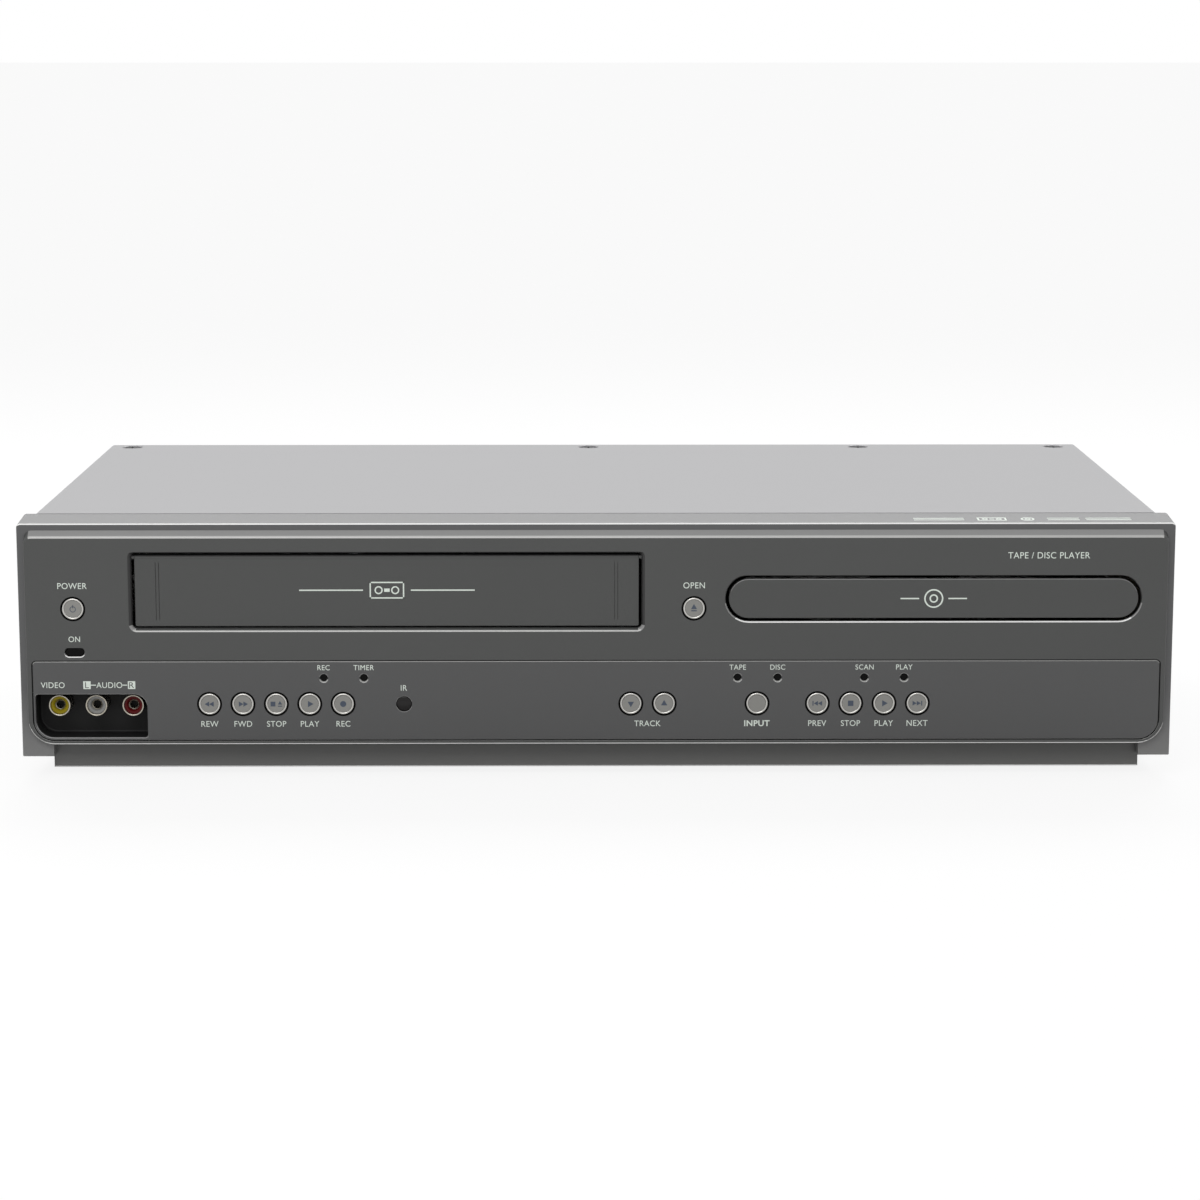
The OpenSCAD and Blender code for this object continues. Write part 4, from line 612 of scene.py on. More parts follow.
lens_low, lens_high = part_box("power_lens")
lens_gap = 0.1 * MM
cup_low, cup_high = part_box("jack_recess")
cup_wall = 1.5 * MM
cup_gap = 0.3 * MM
cup_x, cup_z = spans(cup_low, cup_high, -cup_wall)
cup_radii = (6.7 * MM, 1 * MM, 5 * MM, 1 * MM)

cassette_mouth = opening(slot_x, slot_z, [1.6 * MM] * 4, 1.9 * MM)
tray_mouth = opening(*spans(front_low, front_high, tray_gap), [round_end + tray_gap] * 4, 0.75 * MM)
lens_mouth = opening(*spans(lens_low, lens_high, lens_gap), [1.58 * MM] * 4, 0.5 * MM)
for mouth, top in ((cassette_mouth, slot_z[1]), (tray_mouth, front_high.z + tray_gap),
                   (lens_mouth, lens_high.z + lens_gap)):
    with editing(mouth, "VERT", lambda spot, way: spot.z > top + NEAR):
        bpy.ops.transform.resize(value=(1, 1, 0.35), center_override=(0, 0, top))
pocket = opening(*spans(panel_low, panel_high, seam), [r + seam for r in panel_radii], seam_mouth,
                 deep=panel_high.y - face_y - seam_mouth)
cup_hole = slab("cup_hole", *spans(cup_low, cup_high, cup_gap), (face_y + MM, lip_back),
                [r + cup_wall + cup_gap for r in cup_radii])
combine(moulding, "DIFFERENCE", cassette_mouth, tray_mouth, pocket, lens_mouth, cup_hole)
behind_panel = [(key_at[key], hole_r) for key in BUTTONS[2:]]
behind_panel += [((x, light_z), 1.5) for x in light_x] + [(ir_at, 2.2)]
drills = [drill(*key_at[key], hole_r, 0.25) for key in BUTTONS[:2]]
drills += [drill(*place, radius, 0.1, face_y + MM) for place, radius in behind_panel]
combine(moulding, "DIFFERENCE", joined("drills", drills))
moulding = smooth(joined("front_moulding", [moulding, plinth]))


def paint_on_plastic(name, colour, roughness=0.36, **numbers):
    """Two-pack paint on a moulding: fine metallic flake in it, faint orange peel, soft cloudiness."""
    finish = Finish(name, colour, roughness, Coat_Weight=0.25, Coat_Roughness=0.22, **numbers)
    flake = finish.noise(0.12 * MM, detail=1)
    clouds = finish.noise(60 * MM, detail=3)
    finish.vary(clouds * 0.4 + flake * 0.6, tone=0.12, gloss=0.14)
    finish.bump(finish.noise(0.9 * MM) + flake * 0.5, depth=0.006 * MM)
    return finish


def painted_light_by_height(finish, low_z, high_z, low_colour, high_colour):
    """Paints light and shade into the tone with the height, from one colour to another."""
    height = finish.node("ShaderNodeSeparateXYZ", {}, {"Vector": finish.place}, "Z")
    share = finish.node("ShaderNodeMapRange", {}, {"Value": height, "From Min": low_z, "From Max": high_z})
    finish.feed(finish.shader, {"Base Color": finish.mix(share, low_colour, high_colour)})
    return finish


def near_key(spot, reach=6 * MM):
    return any(away(spot, *place) < reach for place in key_at.values())


def in_key_hole(spot, way):
    return abs(way.y) < 0.95 and near_key(spot, 4.9 * MM)


def in_pocket(spot, way):
    """The walls and the floor that the panel's seam shows."""
    reach = seam + NEAR
    return (face_y + 0.15 * MM < spot.y < panel_high.y + 0.2 * MM and abs(spot.x) < panel_high.x + reach
            and panel_low.z - reach < spot.z < panel_high.z + reach)


face_paint = paint_on_plastic("face_paint", (0.0445, 0.046, 0.0445))
# The frame's paint is painted lighter towards its foot: painted light, as from the pale floor.
frame_paint_and_painted_light = painted_light_by_height(paint_on_plastic("frame_paint_and_painted_light", (0.08, 0.08, 0.08)), wing_z, 34 * MM,
                   (0.16, 0.16, 0.158), (0.075, 0.0755, 0.077))
# The plinth's paint is painted shade under the raised face, and lighter towards its foot as painted light
# from the floor.
plinth_painted_shade = painted_light_by_height(paint_on_plastic("plinth_painted_shade", (0.08, 0.08, 0.08)), low.z, face_z,
                    (0.12, 0.12, 0.116), (0.06, 0.06, 0.058))
shade_paint = paint_on_plastic("shade_paint", (0.012, 0.012, 0.012), 0.5, Specular_IOR_Level=0.2)
# Painted shade for the sides of the cassette slot's mouth.
slot_side_shade = paint_on_plastic("slot_side_shade", (0.022, 0.022, 0.022), 0.45, Specular_IOR_Level=0.3)
# Painted highlights, in three strengths, for rounded edges that catch the light.
painted_highlight_white = paint_on_plastic("painted_highlight_white", (0.84, 0.84, 0.83), 0.3)
painted_highlight_bright = paint_on_plastic("painted_highlight_bright", (0.42, 0.42, 0.41), 0.3)
painted_highlight_soft = paint_on_plastic("painted_highlight_soft", (0.24, 0.24, 0.238), 0.3)
ledge_top = face_top + ledge + NEAR
paint(moulding, face_paint)
# The frame and wings, with painted light towards their foot.
paint(moulding, frame_paint_and_painted_light, lambda spot, way: spot.y > frame_y - 0.2 * MM and spot.z > wing_z - MM
      and (way.y < -0.1 or way.z > 0.05 or abs(way.x) > 0.5))
# The sloping ledge: a painted highlight, as it faces up into the light.
paint(moulding, painted_highlight_soft, lambda spot, way: spot.z > face_top and 0.7 < way.z < 0.76 and way.y < -0.5)
# The plinth, with its painted shade and painted floor light.
paint(moulding, plinth_painted_shade, lambda spot, way: spot.z < face_z - 0.05 * MM
      and spot.y > plinth_y - 0.1 * MM and abs(spot.x) < plinth_half + NEAR)
paint(moulding, shade_paint, lambda spot, way: way.z < -0.3 and -0.95 < way.y < 0.1
      and spot.z > face_z + 5 * MM and not near_key(spot))
paint(moulding, shade_paint, in_key_hole)
paint(moulding, shade_paint, in_pocket)
# Painted shade on the cassette slot's side bevels.
paint(moulding, slot_side_shade, lambda spot, way: -0.98 < way.y < 0.1 and abs(way.x) > 0.2
      and abs(way.z) < 0.5 and slot_z[0] < spot.z < slot_z[1]
      and slot_x[0] - 3 * MM < spot.x < slot_x[1] + 3 * MM)
# Painted highlights on the bevels of openings and corners that face up, on the lip's front edge and on the
# lens's lower lip, and painted floor reflections on the lower edges of the raised face and wings.
paint(moulding, painted_highlight_bright, lambda spot, way: way.y < -0.2 and 0.2 < way.z < 0.7 and spot.z < ledge_top
      and abs(spot.x) < face_half - 2 * MM and not near_key(spot))
paint(moulding, painted_highlight_soft, lambda spot, way: way.y < -0.2 and 0.1 < way.z < 0.9 and abs(way.x) > 0.25
      and spot.z < face_top - 5 * MM and not near_key(spot))
paint(moulding, painted_highlight_white, lambda spot, way: way.y < -0.2 and way.z > 0.3 and abs(way.x) < 0.6
      and front_low.z - 2.2 * MM < spot.z < front_low.z and spot.x > front_low.x)
paint(moulding, painted_highlight_white, lambda spot, way: way.y < -0.2 and 0.3 < way.z < 0.95 and spot.z > ledge_top)
paint(moulding, painted_highlight_white, lambda spot, way: -0.9 < way.y < -0.2 and way.z < -0.2
      and spot.z < face_z + MM and abs(way.x) < 0.2)
paint(moulding, painted_highlight_bright, lambda spot, way: -0.9 < way.y < -0.2 and way.z < -0.2
      and spot.z < face_z + 8 * MM and abs(way.x) > 0.2 and abs(spot.x) > plinth_half - 2 * MM)
paint(moulding, painted_highlight_white, lambda spot, way: way.y < -0.1 and way.z > 0.2
      and lens_low.x < spot.x < lens_high.x and lens_low.z - MM < spot.z < lens_low.z + 0.5 * MM)
stands_for(moulding, "bezel_plastic", "front_bezel")


# Control panel. A thin moulding of its own, let into the raised face with a fine seam all round. Its holes
# take the lower buttons, six lights, the remote control window and the jacks.
panel_y = panel_low.y + INK
panel = slab("control_panel_plate", *spans(panel_low, panel_high), (panel_y, panel_high.y), panel_radii)
round_off(panel, 0.4 * MM, front_rim(panel_y), 3)
cup_mouth = opening(cup_x, cup_z, cup_radii, 0.4 * MM, panel_y)
drills = [drill(*key_at[key], hole_r, 0.25, panel_y) for key in BUTTONS[2:]]
drills += [drill(x, light_z, 1.43, 0.65, panel_y) for x in light_x] + [drill(*ir_at, 2.95, 0.3, panel_y)]
combine(panel, "DIFFERENCE", cup_mouth, joined("drills", drills))
smooth(panel)
panel_paint = paint_on_plastic("panel_paint", (0.056, 0.0565, 0.057))
paint(panel, panel_paint)
# Painted shade in the key holes, and painted highlights on the panel's rounded edges, brightest along its
# top and round the light holes.
paint(panel, shade_paint, in_key_hole)
paint(panel, painted_highlight_soft, lambda spot, way: -0.9 < way.y < -0.2 and abs(way.z) > 0.2 and not near_key(spot))
paint(panel, painted_highlight_bright, lambda spot, way: -0.9 < way.y < -0.2 and way.z > 0.2
      and spot.z > panel_high.z - MM)
paint(panel, painted_highlight_bright, lambda spot, way: -0.9 < way.y and way.z > 0.25
      and any(away(spot, x, light_z) < 2.5 * MM for x in light_x))
stands_for(panel, "panel_plastic", "control_panel")


# Cassette flap. A long door with a pair of thin grooves near each end, hung in the slot on two pins at its
# top edge. It wears the face's paint, painted a shade darker as painted shade because it lies deeper.
door_z = flap_low.z
door_x = (flap_low.x + 3.2 * MM, flap_high.x - 3.2 * MM)
hinge_r = 1.22
hinge_y = flap_low.y + 1.1 * MM
hinge_z = flap_high.z - hinge_r * MM
door = slab("flap_door", door_x, (door_z, hinge_z), (flap_low.y, flap_low.y + 2.2 * MM),
            (0.8 * MM, 0.8 * MM, 0.3 * MM, 0.3 * MM))
round_off(door, 0.35 * MM, front_rim(flap_low.y), 3)
groove_half = 0.14 * MM
grooves = []
for x in (door_x[0] + 8.6 * MM, door_x[1] - 8.6 * MM):
    for line in (x - 0.6 * MM, x + 0.6 * MM):
        grooves.append(block("groove", (line - groove_half, flap_low.y - MM, door_z + 2.5 * MM),
                             (line + groove_half, flap_low.y + 0.5 * MM, hinge_z - 2 * MM)))
combine(door, "DIFFERENCE", joined("grooves", grooves))
length = (door_x[1] - door_x[0]) / MM
knuckle = turned("knuckle", [(0, 0.9), (0.3, hinge_r), (length - 0.3, hinge_r), (length, 0.9)],
                 (door_x[0], hinge_y, hinge_z), "X", sides=32)
pins = [turned("pin", [(-1, 1), (3, 1), (3.2, 0.8)], (x, hinge_y, hinge_z), way, sides=24)
        for x, way in zip(door_x, ("-X", "X"))]
flap = joined("flap_door", [door, knuckle, *pins])
smooth(flap)
# The doors' paint: the face's paint, painted a shade darker as painted shade for lying deeper.
door_paint_painted_shade = paint_on_plastic("door_paint_painted_shade", (0.042, 0.0435, 0.042), 0.4)
paint(flap, door_paint_painted_shade)
# Painted shade on the top of the knuckle.
paint(flap, shade_paint, lambda spot, way: way.z > 0.2 and spot.z > hinge_z + 0.2 * MM)


# Tray front. A stadium-shaped cap clipped on the front of the disc tray, with a soft rounded edge. It
# fills the tray's slot with an even gap.
cap_y = front_low.y + INK
cap = slab("tray_cap", *spans(front_low, front_high), (cap_y, cap_y + 3.7 * MM), [round_end] * 4)
round_off(cap, 0.4 * MM, front_rim(cap_y), 4)
tongue = block("tongue", (tray_x - tray_half + 8 * MM, cap_y + 3.6 * MM, tray_under + 0.4 * MM),
               (tray_x + tray_half - 8 * MM, front_high.y, tray_top - 0.4 * MM))
tray_cap = smooth(joined("tray_cap", [cap, tongue]))
# The door paint with its painted shade, and a painted highlight along the cap's upper rounded edge.
paint(tray_cap, door_paint_painted_shade)
paint(tray_cap, painted_highlight_soft, lambda spot, way: -0.9 < way.y < -0.2 and way.z > 0.2 and abs(way.x) < 0.5)


# Buttons. Fourteen round caps, each with a bright rolled rim round a matt silver face, a flange behind the
# wall and a stem to its switch. The signs on them are printed in grey-blue ink.
button_low, button_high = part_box("power_button")
stem = (button_high.y - button_low.y) / MM
face_deep = 0.22
rim_r = 0.42
rolled_rim = [(rim_r - rim_r * math.sin(a), 3.68 - rim_r * math.cos(a)) for a in angles(12, 180)]
cap_profile = [(face_deep, 3.25), *rolled_rim, (3.1, 4.1), (3.1, 5.4), (4.1, 5.4), (4.1, 2), (stem, 2)]
cap_face = plastic("button_face", (0.235, 0.232, 0.218), 0.42, 0.2 * MM, 0.006 * MM, Metallic=0.25)
cap_rim = metal("button_rim", (0.52, 0.51, 0.485), 0.24)
# Painted shade for the caps' sides, which lie in the hole's shadow.
cap_side_shade = plastic("button_side_shade", (0.010, 0.010, 0.010), 0.6, Specular_IOR_Level=0.15)
sign_ink = plastic("sign_ink", (0.045, 0.06, 0.09), 0.5)


def flat(name, primitive, x, z, **at):
    """A flat sign that lies across the front: a primitive face, drawn out to the thickness of ink."""
    piece = start(name, primitive, **at)
    with editing(piece, "FACE", anywhere):
        draw_out((0, 0, INK))
    tidy_mesh(piece)
    return put(piece, (x, 0, z), (90, 0, 0))


def ringed(*points):
    """Lathe points that come back to their start."""
    return [*points, points[0]]


def arrow(turn):
    """Makes triangles that point right at turn 0 and up at 90."""
    return lambda x, z, size: flat("arrow", bpy.ops.mesh.primitive_circle_add, x, z, vertices=3,
                                   radius=size, fill_type="NGON", turn=(0, 0, turn - 90))


def dot(x, z, radius):
    return flat("dot", bpy.ops.mesh.primitive_circle_add, x, z, vertices=24, radius=radius,
                fill_type="NGON")


def bar(x, z, w, h):
    return flat("bar", bpy.ops.mesh.primitive_plane_add, x, z, size=1, scale=(w, h, 1))


def hoop(x, z, radius, width):
    thick, outside, inside = INK / MM, radius / MM, (radius - width) / MM
    ring = ringed((0, outside), (thick, outside), (thick, inside), (0, inside))
    return turned("hoop", ring, (x, 0, z), "-Y", sides=28)


right, up, left, down = [arrow(turn) for turn in (0, 90, 180, 270)]
UNIT = 1.22 * MM
SIGNS = {
    "power": [(hoop, 0, -0.1, 0.9508, 0.2213), (bar, 0, 0.75, 0.24, 1)],
    "open": [(up, 0, 0.3, 1.0925), (bar, 0, -0.75, 1.7, 0.35)],
    "rewind": [(left, -0.6, 0, 0.95), (left, 0.8, 0, 0.95)],
    "forward": [(right, -0.8, 0, 0.95), (right, 0.6, 0, 0.95)],
    "tape_stop": [(bar, -1.05, 0, 1.5, 1.5), (up, 1.1, 0.22, 0.76), (bar, 1.1, -0.68, 1.3, 0.3)],
    "tape_play": [(right, 0, 0, 1.14)],
    "record": [(dot, 0, 0, 0.95)],
    "track_down": [(down, 0, 0, 1.14)],
    "track_up": [(up, 0, 0, 1.14)],
    "source": [],
    "previous": [(left, -0.25, 0, 0.855), (left, 1.05, 0, 0.855), (bar, -1.35, 0, 0.32, 1.5)],
    "disc_stop": [(bar, 0, 0, 1.7, 1.7)],
    "disc_play": [(right, 0, 0, 1.14)],
    "next": [(right, -1.05, 0, 0.855), (right, 0.25, 0, 0.855), (bar, 1.35, 0, 0.32, 1.5)],
}


def laid(signs, place, finish):
    """Moves signs to a place and paints them."""
    return [paint(put(sign, place), finish) for sign in signs]


pattern_cap = smooth(turned("pattern_cap", cap_profile, toward="Y", sides=56))
# Painted shade on the cap's sides and the outer part of its rim, so that the gap round each cap shows
# dark.
paint(pattern_cap, cap_side_shade)
paint(pattern_cap, cap_rim, lambda spot, way: spot.y < 0.4 * MM and away(spot, 0, 0) < 3.98 * MM)
paint(pattern_cap, cap_face, lambda spot, way: way.y < -0.9 and away(spot, 0, 0) < 3 * MM)
for key in BUTTONS:
    x, z = key_at[key]
    cap = copied(pattern_cap, key + "_cap", (x, button_low.y, z))
    signs = [shape(*[number * UNIT for number in numbers]) for shape, *numbers in SIGNS[key]]
    inked = laid(signs, (x, button_low.y + face_deep * MM, z), sign_ink)
    stands_for(joined(key + "_cap", [cap, *inked]), "button_silver", key + "_button")
bpy.data.objects.remove(pattern_cap)


# Lights and windows. A smoked bar over the power light, six light pipes behind countersunk holes, and a
# domed near-black window for the remote control's receiver.
lens = slab("power_light_bar", *spans(lens_low, lens_high), (lens_low.y, lens_high.y), [1.48 * MM] * 4)
round_off(lens, 0.3 * MM, front_rim(lens_low.y), 3)
smooth(lens)
smoked = plastic("smoked_lens", (0.003, 0.003, 0.003), 0.25, 2 * MM, 0.001 * MM, Specular_IOR_Level=0.07)
paint(lens, smoked)
stands_for(lens, "clear_lens", "power_lens")
dress(smoked, "status_lights")
window_r = 2.9
dome = [(0.5 * (1 - math.cos(a)), max(window_r * math.sin(a), 0.05)) for a in angles(9)]
window_at = (ir_at[0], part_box("ir_window")[0].y, ir_at[1])
window = smooth(turned("remote_window", [*dome, (1.2, window_r)], window_at, "Y", sides=40))
paint(window, plastic("window_black", (0.005, 0.004, 0.004), 0.1, 3 * MM, 0.001 * MM,
                      Specular_IOR_Level=0.28))
stands_for(window, "ir_lens", "ir_window")


# Front jacks. A dark moulded bay with a coved floor, and three nickel-plated sleeves with rolled ends that
# hold yellow, white and red insulators round the centre contact.
cup = slab("jack_bay", *spans(cup_low, cup_high), (cup_low.y, cup_high.y),
           [r + cup_wall for r in cup_radii])
bay_floor = cup_high.y - cup_wall
bay = slab("bay", cup_x, cup_z, (cup_low.y - MM, bay_floor), cup_radii)
round_off(bay, 0.9 * MM, lambda spot, way: spot.y > bay_floor - NEAR and abs(way.y) < 0.5, 4)
jack_low, jack_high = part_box("jack_sleeves")
jack_mid, jack_z = mid("jack_sleeves")
jack_x = [jack_mid + i * 13.9 * MM for i in (-1, 0, 1)]
jack_holes = [drill(x, jack_z, 4.25, 0.1, bay_floor, 3) for x in jack_x]
combine(cup, "DIFFERENCE", bay, joined("drills", jack_holes))
smooth(cup)
bay_black = plastic("bay_black", (0.009, 0.009, 0.009), 0.55, Specular_IOR_Level=0.2)
paint(cup, bay_black)
stands_for(cup, "jack_black", "jack_recess")

sleeve_r = 4.15


def rolled_end(at, way):
    """The rolled end of a sleeve, as lathe points from its outside to its inside. It lies at a reach along
    the axis, and faces along it where way is 1 and back where way is -1."""
    roll = 0.35
    return [(at + way * (roll * math.sin(a) - roll), sleeve_r - roll + roll * math.cos(a))
            for a in angles(9, 180)]


sleeve_len = (jack_high.y - jack_low.y) / MM
nickel = metal("nickel_plate", (0.44, 0.41, 0.35), 0.26, (1, 0.02, 1))
tube = ringed(*rolled_end(0, -1), (sleeve_len, sleeve_r - 0.7), (sleeve_len, sleeve_r))
sleeve = smooth(turned("sleeve", tube, toward="Y"))
jack_sleeves = placed_at(sleeve, "jack_tubes", [(x, jack_low.y, jack_z) for x in jack_x])
paint(jack_sleeves, nickel)
stands_for(jack_sleeves, "plated_brass", "jack_sleeves")


def insulator(depth):
    """A coloured bush with a chamfered mouth, and the bright contact ring sunk in its middle."""
    bush = ringed((0.9, 3.4), (0.9, 2.75), (1.15, 2.45), (1.9, 2.05), (depth - 1, 1.9), (depth - 1, 3.4))
    contact = ringed((2.1, 2), (2, 1.85), (2.2, 1.6), (depth - 2, 1.5), (depth - 2, 2))
    core = turned("core", [(depth - 2.5, 1.9), (depth - 1, 1.9)], toward="Y", sides=24)
    return [smooth(turned("bush", bush, toward="Y")),
            smooth(turned("contact", contact, toward="Y", sides=32)), core]


colours = {"yellow": (0.26, 0.20, 0.004), "white": (0.25, 0.25, 0.244), "red": (0.085, 0.002, 0.003),
           "green": (0.02, 0.22, 0.05), "blue": (0.015, 0.05, 0.30), "black": (0.015, 0.015, 0.015)}
jack_plastic = {name: plastic("jack_" + name, colour, 0.4, Specular_IOR_Level=0.2)
                for name, colour in colours.items()}
ring_low, ring_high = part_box("jack_rings")
bush_deep = (ring_high.y - ring_low.y) / MM
bushes = []
for x, colour in zip(jack_x, ("yellow", "white", "red")):
    for piece, finish in zip(insulator(bush_deep), (jack_plastic[colour], nickel, bay_black)):
        bushes += laid([piece], (x, ring_low.y, jack_z), finish)
jack_bushes = joined("jack_bushes", bushes)
stands_for(jack_bushes, "jack_colours", "jack_rings")


# Front print. Plain words over and under the controls, in pale ink a few hundredths thick. A generic
# cassette and a disc stand on the two doors, and a row of small signs on the lip.
ink = plastic("pale_ink", (0.66, 0.72, 0.66), 0.5, 0.1 * MM, 0.002 * MM)


def lettering(words, x, z, tall, width=0.95, bold=0):
    """A word as a thin plate of ink across the front, its middle at x and z, at height zero in Y."""
    bpy.ops.object.select_all(action="DESELECT")
    bpy.ops.object.text_add()
    word = bpy.context.object
    word.data.body = words
    word.data.align_x = "CENTER"
    word.data.align_y = "CENTER"
    word.data.extrude = 0.1
    word.data.offset = bold
    word.data.space_character = 1.06
    thick = 2 * word.data.extrude
    bpy.ops.object.convert(target="MESH")
    word = tidy_mesh(bpy.context.object)
    corners = [corner.co for corner in word.data.vertices]
    bottom, top = min(c.y for c in corners), max(c.y for c in corners)
    left, right = min(c.x for c in corners), max(c.x for c in corners)
    scale = tall * MM / (top - bottom)
    with editing(word, "VERT", anywhere):
        bpy.ops.transform.translate(value=(-(left + right) / 2, -(bottom + top) / 2, 0))
        bpy.ops.transform.resize(value=(scale * width, scale, INK / thick), center_override=(0, 0, 0))
        bpy.ops.transform.translate(value=(0, 0, INK / 2))
    return put(word, (x, 0, z), (90, 0, 0))


upper_z = 74.3 * MM
lamp_z = 43 * MM
sound_z = 36.4 * MM
row_z = 21.4 * MM
UPPER_ROW = {"power": "POWER", "open": "OPEN"}
LOWER_ROW = {"rewind": "REW", "forward": "FWD", "tape_stop": "STOP", "tape_play": "PLAY", "record": "REC",
             "previous": "PREV", "disc_stop": "STOP", "disc_play": "PLAY", "next": "NEXT"}
LAMP_ROW = ("REC", "TIMER", "TAPE", "DISC", "SCAN", "PLAY")
track_mid = (key_at["track_down"][0] + key_at["track_up"][0]) / 2
sound_x = (jack_x[1] + jack_x[2]) / 2 - 1.55 * MM
words = [lettering(word, key_at[key][0], upper_z, 2.3) for key, word in UPPER_ROW.items()]
words += [lettering(word, key_at[key][0], row_z, 2.2) for key, word in LOWER_ROW.items()]
words += [lettering(word, x, lamp_z, 1.95) for word, x in zip(LAMP_ROW, light_x)]
words += [
    lettering("TRACK", track_mid, row_z, 2.2),
    lettering("INPUT", key_at["source"][0], row_z, 2.3, 1.05, 0.02),
    lettering("ON", mid("power_lens")[0], 54 * MM, 2.1),
    lettering("IR", ir_at[0], 35.2 * MM, 2.1),
    lettering("VIDEO", jack_x[0] - 2 * MM, sound_z, 2.2),
    lettering("AUDIO", sound_x, sound_z, 2.2),
    bar(sound_x - 6 * MM, sound_z, 2 * MM, 0.35 * MM),
    bar(sound_x + 5.6 * MM, sound_z, 2.4 * MM, 0.35 * MM),
    lettering("TAPE / DISC PLAYER", front_high.x - 34 * MM, 85.6 * MM, 2.4)
]
tile_x = {"L": jack_x[1] - 3 * MM, "R": jack_x[2] - 0.1 * MM}
tiles = [bar(x, sound_z, 2.8 * MM, 3 * MM) for x in tile_x.values()]
letters = [lettering(letter, x, sound_z, 2.2, 1.1) for letter, x in tile_x.items()]
front_print = joined("front_print", [
    *laid(words, (0, face_y, 0), ink), *laid(tiles, (0, face_y + 0.4 * INK, 0), ink),
    *laid(letters, (0, face_y, 0), panel_paint)
])
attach(front_print, "chassis")


def cassette_sign(x, z, w, h, line):
    """A generic cassette: a frame, two reels and a window between them."""
    sides = [bar(x, z + side * (h - line) / 2, w, line) for side in (-1, 1)]
    ends = [bar(x + side * (w - line) / 2, z, line, h) for side in (-1, 1)]
    reels = [hoop(x + side * w * 0.24, z, h * 0.24, line) for side in (-1, 1)]
    return [*sides, *ends, *reels, bar(x, z, w * 0.16, h * 0.2)]


def disc_sign(x, z, radius, line):
    """A generic disc: its edge and its hub."""
    return [hoop(x, z, radius, line), hoop(x, z, radius * 0.45, line)]


lip_bars = [(129, 19), (176, 12), (193, 17)]
lip_signs = joined("lip_signs", [
    *cassette_sign(149 * MM, 0, 11 * MM, 5 * MM, 0.7 * MM), *disc_sign(162.5 * MM, 0, 2.6 * MM, 0.7 * MM),
    *[bar(x * MM, z * MM, w * MM, 0.9 * MM) for x, w in lip_bars for z in (-1.3, 1.3)]
])
lip_depth = lip_back - frame_y
lip_tilt = math.atan2(lip_fall, lip_depth)
signs_in = 6.2 * MM
signs_z = lip_z - (lip_depth - signs_in) * math.tan(lip_tilt)
put(lip_signs, (0, frame_y + signs_in, signs_z), (math.degrees(lip_tilt) - 90, 0, 0))
paint(lip_signs, ink)
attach(lip_signs, "chassis")

door_mid = (door_z + hinge_z) / 2 + 0.6 * MM
on_door = cassette_sign(slot_mid, door_mid, 13 * MM, 6.4 * MM, 0.5 * MM)
on_door += [bar(slot_mid + side * 21 * MM, door_mid, 24 * MM, 0.5 * MM) for side in (-1, 1)]
flap = joined("flap_door", [flap, *laid(on_door, (0, flap_low.y, 0), ink)])
stands_for(flap, "flap_plastic", "cassette_flap")
on_tray = disc_sign(tray_x, tray_z, 3.6 * MM, 0.55 * MM)
on_tray += [bar(tray_x + side * 9 * MM, tray_z, 7 * MM, 0.5 * MM) for side in (-1, 1)]
tray_cap = joined("tray_cap", [tray_cap, *laid(on_tray, (0, cap_y, 0), ink)])
stands_for(tray_cap, "flap_plastic", "tray_front")


# Top cover. One sheet of steel folded down over both sides, painted grey with a fine texture. It has a row
# of cooling slots in each side, and dished seats for the screws along its rear edge.
cover_low, cover_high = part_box("top_cover")
cover_low.z = foot_high.z
cover = block("cover_sheet", cover_low, cover_high)
round_off(cover, 2 * MM, lambda spot, way: abs(way.y) > 0.9 and spot.z > cover_high.z - NEAR, 6)
with editing(cover, "FACE", lambda spot, way: abs(way.y) > 0.9 or way.z < -0.9):
    bpy.ops.mesh.delete(type="FACE")
apply_modifier(cover, "SOLIDIFY", thickness=MM, offset=-1)
rear_y = cover_high.y
vent = block("vent", (cover_low.x - MM, rear_y - 98.5 * MM, 36 * MM),
             (cover_high.x + MM, rear_y - 96.5 * MM, 58 * MM))
round_off(vent, 0.95 * MM, runs_along("x"), 4)
in_a_row(vent, 12, (0, 7 * MM, 0))
screw_y = rear_y - 7 * MM
top_screw_x = [10.65 * MM + cover_low.x, -2.4 * MM, tray_x - 10.3 * MM, cover_high.x - 11.15 * MM]
seat_r = 4.9
seat_deep = 1.6
seat_holes = [turned("seat_hole", [(-3, seat_r), (1, seat_r)], (x, screw_y, cover_high.z))
              for x in top_screw_x]
combine(cover, "DIFFERENCE", vent, joined("seat_holes", seat_holes))
dish = ringed((-1, seat_r), (0, seat_r), (-0.06, 4.6), (-0.25, 4.32), (-0.6, 4.14), (-1.25, 4.04),
              (-1.5, 3.9), (-seat_deep, 3.6), (-seat_deep, 1.7), (-2.4, 1.7), (-2.4, 4.3), (-1.8, 4.75))
dishes = [turned("dish", dish, (x, screw_y, cover_high.z)) for x in top_screw_x]
cover_sheet = joined("cover_sheet", [cover, *dishes])
smooth(cover_sheet)
cover_paint = Finish("cover_paint", (0.171, 0.169, 0.178), 0.34, Coat_Weight=0.3, Coat_Roughness=0.3)
pebble = cover_paint.noise(0.6 * MM)
cover_paint.vary(pebble * 0.5 + cover_paint.noise(80 * MM, detail=3) * 0.5, tone=0.07, gloss=0.1)
cover_paint.bump(pebble, depth=0.012 * MM)
paint(cover_sheet, cover_paint)
stands_for(cover_sheet, "cover_paint", "top_cover")


